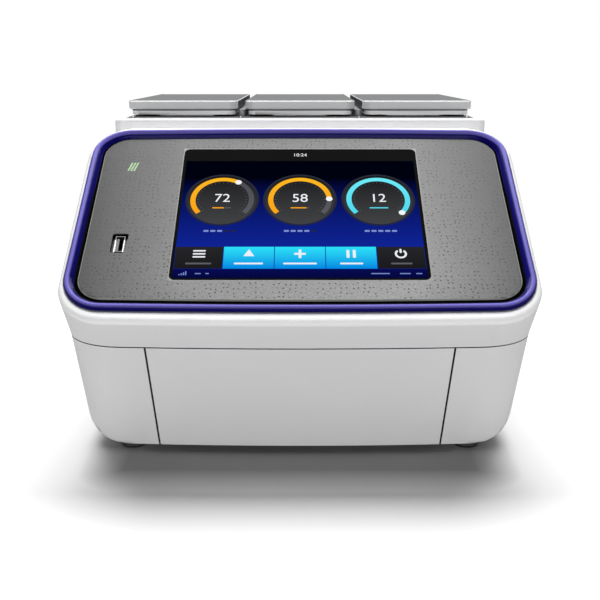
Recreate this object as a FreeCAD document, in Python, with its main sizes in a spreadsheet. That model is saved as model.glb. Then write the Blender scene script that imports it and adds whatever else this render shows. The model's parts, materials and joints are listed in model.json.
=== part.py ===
import FreeCAD, Part
import math
import os

import Sketcher

# Bench thermal cycler with three sample blocks under three lids, a tilted touch screen console
# and a block module that slides out of the back. Millimetres and degrees throughout.
# X runs to the right, Y to the back and Z up; the origin is on the bench under the middle.
# Shapes on the console are placed in its own frame: across, up the slope from the nose, and outward.

os.makedirs("parts", exist_ok=True)
doc = FreeCAD.newDocument("ThermalCycler")
sheet = doc.addObject("Spreadsheet::Sheet", "dims")

sizes = {
    # housings
    "body_width": 311, "body_depth": 458, "base_height": 6, "nose_height": 112, "front_lean": 25,
    "front_bow": 9, "front_corner": 42, "rear_corner": 30, "seam_height": 91, "seam_gap": 0.6, "wall": 3,
    "belly_round": 26, "shoulder_height": 198, "shoulder_round": 12, "cover_width": 197, "cover_gap": 1.1,
    "cover_lap": 6, "cover_frame": 10, "cover_rib": 4, "rib_thick": 2, "foot_radius": 9,
    "foot_across": 240, "foot_inset": 68, "pad_thick": 4, "foot_wall": 1.5, "post_radius": 3,
    # console
    "panel_tilt": 35, "console_length": 189, "console_corner": 34, "console_depth": 158.5, "rim_bow": 2.6,
    "rim_corner": 31, "lip_round": 4, "console_top": 6.5,
    # ring, fascia and screen, on the console
    "ring_margin": 3.5, "ring_length": 176, "ring_start": 7.6, "ring_corner": 27, "ring_bow": 3,
    "ring_band": 7.25, "ring_rise": 3, "ring_gap": 0.15, "flange_thick": 0.8, "flange_lap": 3,
    "ring_crown": 2.4, "ring_fall": 4, "channel": 1.75, "fascia_rise": 0.3, "fascia_thick": 3,
    "fascia_edge": 0.8, "glass_width": 168.8, "glass_length": 127.6, "glass_start": 34.1,
    "glass_corner": 4, "glass_thick": 1.8, "glass_gap": 0.2, "glass_proud": 0.1, "display_thick": 8,
    "display_margin": 3, "display_inset": 10, "chip_height": 2, "board_drop": 4, "board_thick": 1.6,
    "usb_inset": 31.6, "usb_up": 66.7, "usb_width": 10.8, "usb_length": 18, "usb_depth": 12,
    "usb_hole": 5.2, "usb_reach": 12.8, "usb_rim": 0.7, "usb_tongue": 2, "usb_collar": 2,
    "port_corner": 2, "light_inset": 31.6, "light_up": 142.5, "light_length": 9, "light_width": 1.3,
    "light_pitch": 2.1, "light_slant": 14, "light_gap": 0.1,
    # bay and rear of the base
    "bay_margin": 19.5, "bay_floor": 96, "tray_setback": 8, "sheet_thick": 1.5, "rail_height": 2,
    "rail_width": 12, "rail_inset": 26, "panel_margin": 7.5, "panel_thick": 2, "panel_lap": 6,
    "screw_margin": 3, "panel_drop": 4, "head_sink": 2, "head_thick": 1.6, "screw_reach": 4,
    "board_height": 20, "board_left": 27.5, "board_width": 124, "board_front": 40, "post_inset": 6,
    "supply_left": 22, "supply_width": 96, "supply_depth": 150, "supply_height": 46, "supply_back": 30,
    "inlet_across": 84, "inlet_height": 24, "inlet_width": 28, "inlet_tall": 40, "inlet_deep": 26,
    "flange_edge": 3, "inlet_pin": 2, "rocker_across": 44, "rocker_height": 44, "rocker_width": 14,
    "rocker_long": 20.8, "rocker_tilt": 8, "rocker_side": 2, "rocker_frame": 1.7, "rocker_deep": 16,
    "rocker_sink": 2, "rocker_axle": 1.2, "rocker_back": 2.6, "rocker_face": 4.8, "port_rise": 0.6,
    "supply_vent": 10, "port_across": -30, "jack_width": 16, "jack_tall": 13.6, "jack_deep": 20,
    "usb_pair_across": -64, "usb_pair_width": 14.4, "usb_pair_tall": 16, "usb_pair_deep": 18,
    "vent_width": 6, "vent_pitch": 12, "vent_inset": 24, "rail_start": 6, "rail_end": 12,
    # docking plug between base and module
    "dock_height": 127, "dock_width": 50, "dock_tall": 6, "dock_gap": 1, "dock_wall": 2, "dock_deep": 3.2,
    "dock_floor": 0.8,
    # module cover, chassis and cooling
    "deck_inset": 13.5, "deck_height": 225.7, "deck_setback": 7, "deck_gap": 1.5, "deck_wall": 2.5,
    "deck_corner": 6, "deck_rear_corner": 14, "deck_edge": 3, "shoulder_gap": 1, "chassis_gap": 1.5,
    "chassis_wall": 2, "chassis_setback": 4, "chassis_vent": 14, "module_board_width": 120,
    "module_board_tall": 34, "sink_gap": 14.5, "sink_length": 160, "sink_setback": 40, "sink_base": 10,
    "fin_thick": 1.5, "fan_gap": 6.25, "fan_depth": 25, "fan_height": 146, "hub_radius": 16,
    "blade_thick": 1.6, "duct_wall": 2, "rotor_gap": 3, "dock_collar": 2, "dock_proud": 0.2,
    "board_stand": 4, "board_shift": 6, "strut": 4, "grille_slot": 4.8, "grille_pitch": 7.4,
    # sample blocks
    "block_width": 40, "block_length": 76, "block_height": 14, "block_back": 90, "tube_gap": 7.2,
    "well_pitch": 9, "well_top": 6.2, "well_bottom": 2.4, "well_depth": 12, "element_size": 36,
    "element_thick": 3.6, "mouth_width": 52, "mouth_length": 92, "mouth_corner": 4, "frame_wall": 3,
    # lids
    "lid_margin": 6.1, "lid_gap": 5.7, "lid_front": 25, "lid_rear": 93.4, "lid_clearance": 1.5,
    "slab_thick": 3.4, "slab_inset": 2.4, "lever_gap": 0.7, "lever_thick": 6.7, "lever_corner": 8,
    "lever_edge": 1, "lever_top": 2.5, "lever_skirt": 2, "lever_slack": 0.5, "lever_flat": 0.1,
    "neck_thick": 5.6, "core_back": 4, "hinge_back": 7.7, "hinge_rise": 3.5, "hinge_radius": 3.2,
    "hinge_block": 3.6, "hinge_foot": 6, "hinge_across": 56, "knuckle": 8, "cheek": 3, "pin_radius": 1.6,
    "pin_play": 0.05, "plate_width": 48, "plate_length": 84, "plate_thick": 8, "plate_corner": 3,
    "divider_width": 5, "divider_height": 5, "divider_inset": 6, "divider_corner": 2,
    # pull-out handle
    "recess_width": 124, "recess_back": 8, "recess_length": 54, "recess_depth": 15, "recess_corner": 5,
    "bail_width": 104, "bail_bar": 9, "bail_thick": 7, "bail_reach": 36, "bail_rise": 3, "bail_inset": 8,
    "bail_pin": 2.5, "bail_corner": 12,
    # shared clearances and screws
    "play": 0.3, "screw_head": 3.5, "screw_shank": 1.9, "cap_head": 2, "cap_rise": 0.8, "cap_inset": 12,
    "cap_front": 9, "cap_back": 16, "past": 1,
}


class Size:
    # A length or angle with the sheet formula that it comes from.
    def __init__(self, value, text):
        self.value = float(value)
        self.text = text

    def __add__(self, other):
        other = as_size(other)
        return Size(self.value + other.value, f"({self.text} + {other.text})")

    def __sub__(self, other):
        other = as_size(other)
        return Size(self.value - other.value, f"({self.text} - {other.text})")

    def __mul__(self, other):
        other = as_size(other)
        return Size(self.value * other.value, f"({self.text} * {other.text})")

    def __truediv__(self, other):
        other = as_size(other)
        return Size(self.value / other.value, f"({self.text} / {other.text})")

    def __neg__(self):
        return Size(-self.value, f"(0 - {self.text})")

    def __radd__(self, other):
        return as_size(other) + self

    def __rsub__(self, other):
        return as_size(other) - self

    def __rmul__(self, other):
        return as_size(other) * self

    def __rtruediv__(self, other):
        return as_size(other) / self


def as_size(value):
    if isinstance(value, Size):
        return value
    return Size(value, f"({value:.6f})")


def sine(angle):
    return Size(math.sin(math.radians(angle.value)), f"sin({angle.text})")


def cosine(angle):
    return Size(math.cos(math.radians(angle.value)), f"cos({angle.text})")


def tangent(angle):
    return Size(math.tan(math.radians(angle.value)), f"tan({angle.text})")


class Dimensions:
    pass


dims = Dimensions()
for row, (alias, value) in enumerate(sizes.items(), start=1):
    sheet.set(f"A{row}", alias)
    sheet.set(f"B{row}", str(value))
    sheet.setAlias(f"B{row}", alias)
    setattr(dims, alias, Size(value, f"dims.{alias}"))
doc.recompute()

nodes = []
AWAY = as_size(80)  # past anything that a cutting block has to clear
X_AXIS = FreeCAD.Vector(1, 0, 0)
FLAT = FreeCAD.Rotation()
SIDE = FreeCAD.Rotation(FreeCAD.Vector(1, 1, 1), 120)
FRONT = FreeCAD.Rotation(X_AXIS, 90)
BOW_SHARE = 0.95  # how much of a bowed side its shallow arc takes
ALONG = {"x": FreeCAD.Rotation(FreeCAD.Vector(0, 1, 0), 90), "y": FreeCAD.Rotation(X_AXIS, -90), "z": FLAT}


def place(item, at, turn=FLAT, on_panel=False):
    # Puts an item at a point of the room, or at a point of the console's own frame.
    x, y, z = [as_size(value) for value in at]
    if on_panel:
        up, out = y, z
        y = front + up * cosine(dims.panel_tilt) - out * sine(dims.panel_tilt)
        z = dims.nose_height + up * sine(dims.panel_tilt) + out * cosine(dims.panel_tilt)
        turn = FreeCAD.Rotation(X_AXIS, dims.panel_tilt.value)
    item.Placement = FreeCAD.Placement(FreeCAD.Vector(x.value, y.value, z.value), turn)
    for name, value in (("x", x), ("y", y), ("z", z)):
        item.setExpression(f"Placement.Base.{name}", value.text)
    if on_panel:
        item.setExpression("Placement.Rotation.Angle", dims.panel_tilt.text)
    return item


def bind(item, **values):
    for name, value in values.items():
        value = as_size(value)
        setattr(item, name, value.value)
        item.setExpression(name, value.text)
    return item


def box(name, x, y, z, on_panel=False):
    item = doc.addObject("Part::Box", name)
    bind(item, Length=x[1] - x[0], Width=y[1] - y[0], Height=z[1] - z[0])
    return place(item, (x[0], y[0], z[0]), FLAT, on_panel)


def rod(name, radius, at, length, axis="z"):
    item = doc.addObject("Part::Cylinder", name)
    bind(item, Radius=radius, Height=length)
    return place(item, at, ALONG[axis])


def cone(name, low_radius, high_radius, at, height):
    item = doc.addObject("Part::Cone", name)
    bind(item, Radius1=low_radius, Radius2=high_radius, Height=height)
    return place(item, at)


def fuse(name, *items):
    item = doc.addObject("Part::MultiFuse", name)
    item.Shapes = list(items)
    return item


def group(name, items):
    item = doc.addObject("Part::Compound", name)
    item.Links = list(items)
    return item


def cut(name, base, *tools):
    item = doc.addObject("Part::Cut", name)
    item.Base = base
    item.Tool = tools[0] if len(tools) == 1 else fuse(name + "_tools", *tools)
    return item


def common(name, first, second):
    item = doc.addObject("Part::Common", name)
    item.Base = first
    item.Tool = second
    return item


def pinned(sketch, kind, geometry, vertex, value):
    index = sketch.addConstraint(Sketcher.Constraint(kind, -1, 1, geometry, vertex, value.value))
    sketch.setExpression(f"Constraints[{index}]", value.text)


def towards(start, end):
    length = math.hypot(end[0] - start[0], end[1] - start[1])
    return ((end[0] - start[0]) / length, (end[1] - start[1]) / length)


def outline(name, corners, radii, at, turn=FLAT, on_panel=False):
    # A closed sketch with straight sides; each corner is sharp (0) or rounded by a tangent arc.
    corners = [(as_size(x), as_size(y)) for x, y in corners]
    radii = [as_size(radius) for radius in radii]
    points = [(x.value, y.value) for x, y in corners]
    count = len(points)
    leaves, arrives, centres = [], [], []
    for i, point in enumerate(points):
        back = towards(point, points[i - 1])
        ahead = towards(point, points[(i + 1) % count])
        half_angle = math.acos(back[0] * ahead[0] + back[1] * ahead[1]) / 2
        reach = radii[i].value / math.tan(half_angle)
        arrives.append((point[0] + back[0] * reach, point[1] + back[1] * reach))
        leaves.append((point[0] + ahead[0] * reach, point[1] + ahead[1] * reach))
        bisector = (back[0] + ahead[0], back[1] + ahead[1])
        scale = radii[i].value / math.sin(half_angle) / math.hypot(*bisector)
        centres.append((point[0] + bisector[0] * scale, point[1] + bisector[1] * scale))
    sketch = doc.addObject("Sketcher::SketchObject", name)
    lines = []
    for i in range(count):
        start = FreeCAD.Vector(*leaves[i], 0)
        end = FreeCAD.Vector(*arrives[(i + 1) % count], 0)
        lines.append(sketch.addGeometry(Part.LineSegment(start, end), False))
    for i, (x, y) in enumerate(corners):
        mark = sketch.addGeometry(Part.Point(FreeCAD.Vector(*points[i], 0)), True)
        pinned(sketch, "DistanceX", mark, 1, x)
        pinned(sketch, "DistanceY", mark, 1, y)
        if radii[i].value == 0:
            sketch.addConstraint(Sketcher.Constraint("Coincident", lines[i - 1], 2, lines[i], 1))
            sketch.addConstraint(Sketcher.Constraint("Coincident", lines[i], 1, mark, 1))
            continue
        first = math.atan2(arrives[i][1] - centres[i][1], arrives[i][0] - centres[i][0])
        last = math.atan2(leaves[i][1] - centres[i][1], leaves[i][0] - centres[i][0])
        turns_left = (last - first) % (2 * math.pi) < math.pi
        circle = Part.Circle(FreeCAD.Vector(*centres[i], 0), FreeCAD.Vector(0, 0, 1), radii[i].value)
        ends = (first, last) if turns_left else (last, first)
        arc = sketch.addGeometry(Part.ArcOfCircle(circle, *ends), False)
        start, end = (1, 2) if turns_left else (2, 1)
        sketch.addConstraint(Sketcher.Constraint("Tangent", lines[i - 1], 2, arc, start))
        sketch.addConstraint(Sketcher.Constraint("Tangent", arc, end, lines[i], 1))
        index = sketch.addConstraint(Sketcher.Constraint("Radius", arc, radii[i].value))
        sketch.setExpression(f"Constraints[{index}]", radii[i].text)
        sketch.addConstraint(Sketcher.Constraint("PointOnObject", mark, 1, lines[i - 1]))
        sketch.addConstraint(Sketcher.Constraint("PointOnObject", mark, 1, lines[i]))
    place(sketch, at, turn, on_panel)
    return sketch


def prism(name, sketch, length):
    # Stands a sketch up along its own normal.
    item = doc.addObject("Part::Extrusion", name)
    item.Base = sketch
    item.DirMode = "Normal"
    item.Solid = True
    return bind(item, LengthFwd=length)


def loft(name, *sections):
    item = doc.addObject("Part::Loft", name)
    item.Sections = list(sections)
    item.Solid = True
    item.Ruled = True
    return item


def rectangle(x, y):
    return [(x[0], y[0]), (x[1], y[0]), (x[1], y[1]), (x[0], y[1])]


def rounded_block(name, x, y, z, radii, on_panel=False):
    # An upright block whose four corners, from the near left one round, have their own radii.
    base = outline(name + "_outline", rectangle(x, y), radii, (0, 0, z[0]), FLAT, on_panel)
    return prism(name, base, z[1] - z[0])


def side_prism(name, corners, radii, x):
    # A profile drawn as Y and Z and stretched across X.
    return prism(name, outline(name + "_outline", corners, radii, (x[0], 0, 0), SIDE), x[1] - x[0])


def front_prism(name, corners, radii, y):
    # A profile drawn as X and Z and stretched from the back to the front.
    return prism(name, outline(name + "_outline", corners, radii, (0, y[1], 0), FRONT), y[1] - y[0])


def round_edges(name, base, radius, wanted):
    # Fillets those edges of the base that the given test picks out.
    doc.recompute()
    item = doc.addObject("Part::Fillet", name)
    item.Base = base
    picked = [i for i, edge in enumerate(base.Shape.Edges, start=1) if wanted(edge)]
    if not picked:
        raise RuntimeError(f"{name}: no edge to round")
    item.Edges = [(i, radius.value, radius.value) for i in picked]
    return item


def node(name, item):
    item.Label = name
    nodes.append(item)
    return item


def mirrored(value):
    return (-value, value)


def around(middle, width):
    return (middle - width / 2, middle + width / 2)


def at_height(edge, height):
    return all(abs(vertex.Point.z - height.value) < 0.01 for vertex in edge.Vertexes)


# Where the main things stand

half_body = dims.body_width / 2
half_ring = half_body - dims.ring_margin
half_bay = half_body - dims.bay_margin
half_chassis = half_bay - dims.chassis_gap
half_deck = half_body - dims.deck_inset
rear = dims.body_depth / 2
lean = tangent(dims.front_lean)
# the sharp nose stands a little ahead of the rounded one, which is the body's foremost line
nose_half_angle = (90 + dims.panel_tilt - dims.front_lean) / 2
nose_skew = (90 - dims.panel_tilt - dims.front_lean) / 2
front = -dims.body_depth / 2 - dims.lip_round * (cosine(nose_skew) / sine(nose_half_angle) - 1)
hull_top = dims.nose_height + dims.console_depth * tangent(dims.panel_tilt) + dims.shoulder_round
below_seam = dims.seam_height - dims.seam_gap / 2
above_seam = dims.seam_height + dims.seam_gap / 2
console_back = front + dims.console_depth
deck_front = console_back + dims.deck_gap
deck_rear = rear - dims.deck_setback
deck_top = dims.deck_height
deck_under = deck_top - dims.deck_wall
usb_across = dims.usb_inset - half_ring
light_across = dims.light_inset - half_ring
fascia_low = dims.fascia_rise - dims.fascia_thick
ring_depth = dims.flange_thick - fascia_low
lid_bottom = deck_top + dims.lid_clearance
slab_top = lid_bottom + dims.slab_thick
lever_bottom = slab_top + dims.lever_gap
lid_top = lever_bottom + dims.lever_thick
plate_bottom = lid_bottom - dims.plate_thick
block_top = plate_bottom - dims.tube_gap
block_bottom = block_top - dims.block_height
sink_top = block_bottom - dims.element_thick
block_y = deck_front + dims.block_back
rail_top = dims.bay_floor + dims.rail_height
chassis_floor = rail_top + dims.chassis_wall
lever_width = (half_deck * 2 - dims.lid_margin * 2 - dims.lid_gap * 2) / 3
lid_pitch = lever_width + dims.lid_gap
lid_centres = [lid_pitch * step for step in (-1, 0, 1)]


def front_at(height):
    return front + (dims.nose_height - height) * lean


def bow_arc(half, corner, bow):
    # A shallow arc across a side: its radius, and how far it stays behind the point it rounds.
    reach = (half - corner) * BOW_SHARE
    return reach * half / bow, reach * bow / half / 2


def bowed(half, near, far, bow, corner, far_corner):
    # Corners and radii of an outline whose near side is a shallow arc, foremost in the middle.
    radius, setback = bow_arc(half, corner, bow)
    tip = near - setback
    corners = [(-half, tip + bow), (as_size(0), tip), (half, tip + bow), (half, far), (-half, far)]
    return corners, [corner, radius, corner, far_corner, far_corner]


def plan(name, height, inset):
    # The body seen from above, drawn in by an inset.
    corners, radii = bowed(half_body - inset, front_at(height) + inset, rear - inset, dims.front_bow,
                           dims.front_corner - inset, dims.rear_corner - inset)
    return outline(name, corners, radii, (0, 0, height))


def rim(name, inset, depth):
    # The body's outline in the panel plane, or in a plane below it, drawn in by an inset.
    skew = dims.panel_tilt - dims.front_lean
    near = inset / cosine(skew) - depth * tangent(skew)
    far = dims.body_depth / cosine(dims.panel_tilt)
    corners, radii = bowed(half_body - inset, near, far, dims.rim_bow, dims.rim_corner - inset,
                           dims.rear_corner - inset)
    return outline(name, corners, radii, (0, 0, -depth), FLAT, True)


def leaning_hull(name, inset, bottom):
    # The body's walls: the front leans back on its way down, the back is upright.
    return loft(name, plan(name + "_low", bottom, inset), plan(name + "_high", hull_top, inset))


def lower_form(name, inset):
    # The lower housing's outside or inside, with its lower side edges rounded.
    bottom = dims.base_height + inset
    hull = leaning_hull(name + "_hull", inset, bottom)
    radius = dims.belly_round - inset
    belly = front_prism(name + "_belly", rectangle(mirrored(half_body - inset), (bottom, hull_top)),
                        [radius, radius, 0, 0], (front - AWAY, rear))
    return common(name, hull, belly)


def front_slab(name, x, z, near, far):
    # A stretch of the front wall between two depths behind its face, as bowed as the face is.
    stretch = box(name + "_stretch", x, (front - dims.wall, console_back), z)
    outer = leaning_hull(name + "_outer", near, as_size(0))
    inner = leaning_hull(name + "_inner", far, as_size(-1))
    return common(name, stretch, cut(name + "_wall", outer, inner))


def build_lower_housing():
    outer = lower_form("lower_outer", as_size(0))
    inner = lower_form("lower_inner", dims.wall)
    above = box("lower_above", mirrored(half_body + dims.past), (front - AWAY, rear + dims.past),
                (below_seam, hull_top + dims.past))
    shell = cut("lower_shell", outer, inner, above)
    floor = dims.base_height + dims.wall
    half_cover = dims.cover_width / 2 + dims.cover_gap
    slot = front_slab("cover_slot", mirrored(half_cover), (dims.base_height - dims.past, dims.seam_height),
                      -dims.past, dims.wall + dims.play)
    ledge = front_slab("cover_ledge", mirrored(half_cover + dims.cover_lap), (floor, below_seam),
                       dims.wall / 2, dims.wall * 2 + dims.play)
    window = box("cover_window", mirrored(half_cover - dims.cover_frame), (front, console_back),
                 (floor + dims.cover_frame, below_seam - dims.cover_frame))
    rear_hole = box("rear_hole", mirrored(half_panel - dims.panel_lap),
                    around(rear, (dims.wall + dims.past) * 2),
                    (panel_low + dims.panel_lap, panel_high - dims.panel_lap))
    inside = floor - dims.wall / 2
    bosses = []
    for i, (x, y) in enumerate(board_posts):
        bosses.append(rod(f"board_boss_{i}", dims.post_radius, (x, y, inside), dims.board_height - inside))
    feet = []
    pad_seats = []
    for i, (x, y) in enumerate(foot_places):
        feet.append(rod(f"foot_boss_{i}", dims.foot_radius + dims.foot_wall, (x, y, dims.pad_thick / 2),
                        inside - dims.pad_thick / 2))
        pad_seats.append(rod(f"pad_seat_{i}", dims.foot_radius, (x, y, 0), dims.pad_thick))
    walls = fuse("lower_walls", shell, cut("lower_ledge", ledge, window))
    body = fuse("lower_body", cut("lower_open", walls, slot, rear_hole), *bosses, *feet)
    sinks = []
    for i, (x, z) in enumerate(panel_screws):
        sinks.append(rod(f"screw_seat_{i}", dims.screw_head, (x, head_back, z), AWAY, "y"))
        sinks.append(rod(f"screw_hole_{i}", dims.screw_shank, (x, rear - dims.wall - dims.past, z),
                         dims.wall, "y"))
    node("lower_housing", cut("lower_drilled", body, *pad_seats, *sinks))


def build_front_cover():
    # A plate that fills the slot, with a stiffening frame on its back.
    low = dims.base_height
    half = dims.cover_width / 2
    plate = front_slab("cover_plate", mirrored(half), (low, below_seam), as_size(0), dims.wall)
    edge = dims.cover_frame + dims.rib_thick
    rib = front_slab("cover_rib", mirrored(half - edge), (low + dims.wall + edge, below_seam - edge),
                     dims.wall,
                     dims.wall + dims.cover_rib)
    edge = edge + dims.rib_thick
    pocket = box("cover_pocket", mirrored(half - edge), (front, console_back),
                 (low + dims.wall + edge, below_seam - edge))
    node("front_cover", fuse("cover_body", plate, cut("cover_frame_rib", rib, pocket)))


def console_form(name, inset, depth):
    # The console: from the seam up to the panel plane, with the panel's rounded upper corners.
    hull = loft(name + "_hull", plan(name + "_low", above_seam, inset), rim(name + "_rim", inset, depth))
    room = box(name + "_room", mirrored(half_body + dims.past), (front - AWAY, console_back - inset),
               (above_seam, hull_top))
    half = half_body - inset
    corner = dims.console_corner - inset
    face = outline(name + "_face", rectangle(mirrored(half), (-dims.nose_height,
                                                              dims.console_length - inset)),
                   [0, 0, corner, corner], (0, 0, -AWAY * 3), FLAT, True)
    return common(name, common(name + "_cut", hull, room), prism(name + "_block", face, AWAY * 4))


def shoulder_form(name, hull, inset, overlap):
    top = dims.shoulder_height - inset
    radius = dims.shoulder_round - inset
    profile = front_prism(name + "_profile", rectangle(mirrored(half_body - inset), (above_seam, top)),
                          [0, 0, radius, radius], (console_back - overlap, rear + 1))
    return common(name, hull, profile)


def on_lip(edge):
    # Edges that lie in the panel plane: there the outer rim of the console is rounded.
    tilt = math.radians(dims.panel_tilt.value)
    for vertex in edge.Vertexes:
        up = vertex.Point.y - front.value
        height = vertex.Point.z - dims.nose_height.value
        if abs(height * math.cos(tilt) - up * math.sin(tilt)) > 0.01:
            return False
    return True


def build_upper_housing():
    hull = leaning_hull("upper_outer", as_size(0), above_seam)
    console = console_form("console_outer", as_size(0), as_size(0))
    rounded = round_edges("console_rounded", console, dims.lip_round, on_lip)
    shoulders = shoulder_form("shoulder_outer", hull, as_size(0), dims.wall)
    solid = fuse("upper_solid", rounded, shoulders)
    core = leaning_hull("upper_inner", dims.wall, above_seam)
    console_room = console_form("console_inner", dims.wall, dims.console_top)
    shoulder_room = shoulder_form("shoulder_inner", core, dims.wall, as_size(0))
    bay = box("bay_opening", mirrored(half_bay), (console_back, rear + dims.past),
              (dims.bay_floor - dims.sheet_thick, hull_top + dims.past))
    shell = cut("upper_shell", solid, console_room, shoulder_room, bay)
    ring_seat = panel_ring_block("ring_seat", as_size(0), -ring_depth, AWAY)
    margin = dims.display_margin
    through = (-dims.console_top - dims.past, as_size(0))
    window = box("display_window", mirrored(dims.glass_width / 2 + margin),
                 (dims.glass_start - margin, dims.glass_start + dims.glass_length + margin), through, True)
    port = box("port_window", around(usb_across, dims.usb_width + dims.play * 2),
               around(dims.usb_up, dims.usb_length + dims.play * 2), through, True)
    node("upper_housing", cut("upper_cut", shell, ring_seat, window, port))


def ring_outline(name, inset, height):
    # The ring's outline on the panel, drawn in by an inset; its two long sides bow out a little.
    half = half_ring - inset
    corner = dims.ring_corner - inset
    radius, setback = bow_arc(half, corner, dims.ring_bow)
    start = dims.ring_start + inset - setback
    end = dims.ring_start + dims.ring_length - inset + setback
    bow = dims.ring_bow
    corners = [(-half, start + bow), (as_size(0), start), (half, start + bow), (half, end - bow),
               (as_size(0), end), (-half, end - bow)]
    return outline(name, corners, [corner, radius, corner, corner, radius, corner], (0, 0, height), FLAT,
                   True)


def panel_ring_block(name, inset, low, high):
    return prism(name, ring_outline(name + "_outline", inset, low), high - low)


def out_of_panel(point):
    tilt = math.radians(dims.panel_tilt.value)
    return (point.z - dims.nose_height.value) * math.cos(tilt) - (point.y - front.value) * math.sin(tilt)


def above_panel(height):
    return lambda edge: all(abs(out_of_panel(v.Point) - height.value) < 0.01 for v in edge.Vertexes)


def build_control_ring():
    # The band has a rounded outer edge and slopes down inwards; its flange floors the channel
    # and carries the fascia.
    outer = panel_ring_block("ring_outer", dims.ring_gap, -ring_depth, dims.ring_rise)
    rounded = round_edges("ring_crown", outer, dims.ring_crown, above_panel(dims.ring_rise))
    inner = panel_ring_block("ring_inner", dims.ring_band, fascia_low, as_size(0))
    slope = loft("ring_slope", ring_outline("slope_low", dims.ring_band, as_size(0)),
                 ring_outline("slope_high", dims.ring_band - dims.ring_fall, dims.ring_rise))
    hole = panel_ring_block("ring_hole", dims.ring_band + dims.flange_lap, -ring_depth - dims.past,
                            fascia_low)
    node("control_ring", cut("ring_body", rounded, inner, slope, hole))


def build_fascia():
    plate = panel_ring_block("fascia_plate", dims.ring_band + dims.channel, fascia_low, dims.fascia_rise)
    edged = doc.addObject("Part::Chamfer", "fascia_edged")
    doc.recompute()
    edged.Base = plate
    top_edge = above_panel(dims.fascia_rise)
    size = dims.fascia_edge.value
    edged.Edges = [(i, size, size) for i, edge in enumerate(plate.Shape.Edges, start=1) if top_edge(edge)]
    through = (fascia_low - dims.past, dims.fascia_rise + dims.past)
    gap = dims.glass_gap
    opening = rounded_block("glass_opening", mirrored(dims.glass_width / 2 + gap),
                            (dims.glass_start - gap, dims.glass_start + dims.glass_length + gap), through,
                            [dims.glass_corner + gap] * 4, True)
    port = rounded_block("port_opening", around(usb_across, dims.usb_width),
                         around(dims.usb_up, dims.usb_length),
                         through, [dims.port_corner] * 4, True)
    slots = light_bars("light_slot", dims.light_gap, *through)
    node("control_fascia", cut("fascia_body", edged, opening, port, *slots))


# the chips' middles, widths and lengths as shares of half the board's width
display_chips = ((-0.4, 0.45, 0.3, 0.3), (0.25, 0.47, 0.19, 0.27), (0.74, 1.07, 0.24, 0.16),
                 (-0.2, 1.1, 0.4, 0.11))


def light_bars(name, extra, low, high):
    bars = []
    shift = tangent(dims.light_slant) * dims.light_length / 2
    half = dims.light_width / 2 + extra
    bottom = dims.light_up - dims.light_length / 2 - extra
    top = dims.light_up + dims.light_length / 2 + extra
    for step in (-1, 0, 1):
        middle = light_across + dims.light_pitch * step
        corners = [(middle - shift - half, bottom), (middle - shift + half, bottom),
                   (middle + shift + half, top), (middle + shift - half, top)]
        base = outline(f"{name}_{step + 1}_outline", corners, [0, 0, 0, 0], (0, 0, low), FLAT, True)
        bars.append(prism(f"{name}_{step + 1}", base, high - low))
    return bars


def build_status_light():
    node("status_light", group("light_group", light_bars("light_bar", as_size(0), -ring_depth,
                                                         dims.fascia_rise)))


def build_touch_glass():
    # The glass, the display behind it and the display's board, stacked on each other.
    glass_y = (dims.glass_start, dims.glass_start + dims.glass_length)
    high = dims.fascia_rise + dims.glass_proud
    top = high - dims.glass_thick
    low = top - dims.display_thick
    corners = [dims.glass_corner] * 4
    half = dims.glass_width / 2
    node("touch_glass", rounded_block("glass_plate", mirrored(half), glass_y, (top, high), corners, True))
    node("display_panel", rounded_block("display_body", mirrored(half), glass_y, (low, top), corners, True))
    board_high = low - dims.board_drop
    board_low = board_high - dims.board_thick
    board_half = half - dims.display_inset
    board_y = (glass_y[0] + dims.display_inset, glass_y[1] - dims.display_inset)
    board = box("display_board_sheet", mirrored(board_half), board_y, (board_low, board_high), True)
    chips = []
    for i, (x, y, width, length) in enumerate(display_chips):
        chip_x = around(board_half * x, board_half * width)
        chip_y = around(board_y[0] + board_half * y, board_half * length)
        chips.append(box(f"display_chip_{i}", chip_x, chip_y, (board_low - dims.chip_height, board_low), True))
    posts = []
    for i, x in enumerate(mirrored(board_half - dims.post_inset)):
        for j, y in enumerate((board_y[0] + dims.post_inset, board_y[1] - dims.post_inset)):
            posts.append(box(f"display_post_{i}_{j}", around(x, dims.post_radius * 2),
                             around(y, dims.post_radius * 2),
                             (board_high, low), True))
    node("display_board", fuse("display_board_body", board, *chips, *posts))


def build_front_usb_port():
    # A block behind the fascia whose collar stands in the opening, with a tongue inside the socket.
    x = usb_across
    y = dims.usb_up
    floor = fascia_low - dims.usb_depth
    edge = dims.usb_rim
    body = box("usb_body", around(x, dims.usb_width), around(y, dims.usb_length), (floor, fascia_low), True)
    collar = box("usb_collar", around(x, dims.usb_hole + edge * 2), around(y, dims.usb_reach + edge * 2),
                 (fascia_low - dims.past, fascia_low + dims.usb_collar), True)
    socket = box("usb_socket", around(x, dims.usb_hole), around(y, dims.usb_reach),
                 (floor + dims.usb_tongue, fascia_low + AWAY), True)
    left = x - dims.usb_hole / 2
    tongue = box("usb_tongue", (left, left + dims.usb_tongue), around(y, dims.usb_reach - edge * 2),
                 (floor + dims.past, fascia_low + dims.past), True)
    hollow = cut("usb_hollow", fuse("usb_outer", body, collar), socket)
    node("front_usb_port", fuse("usb_port_body", hollow, tongue))


# Rear and inside of the base

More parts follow.
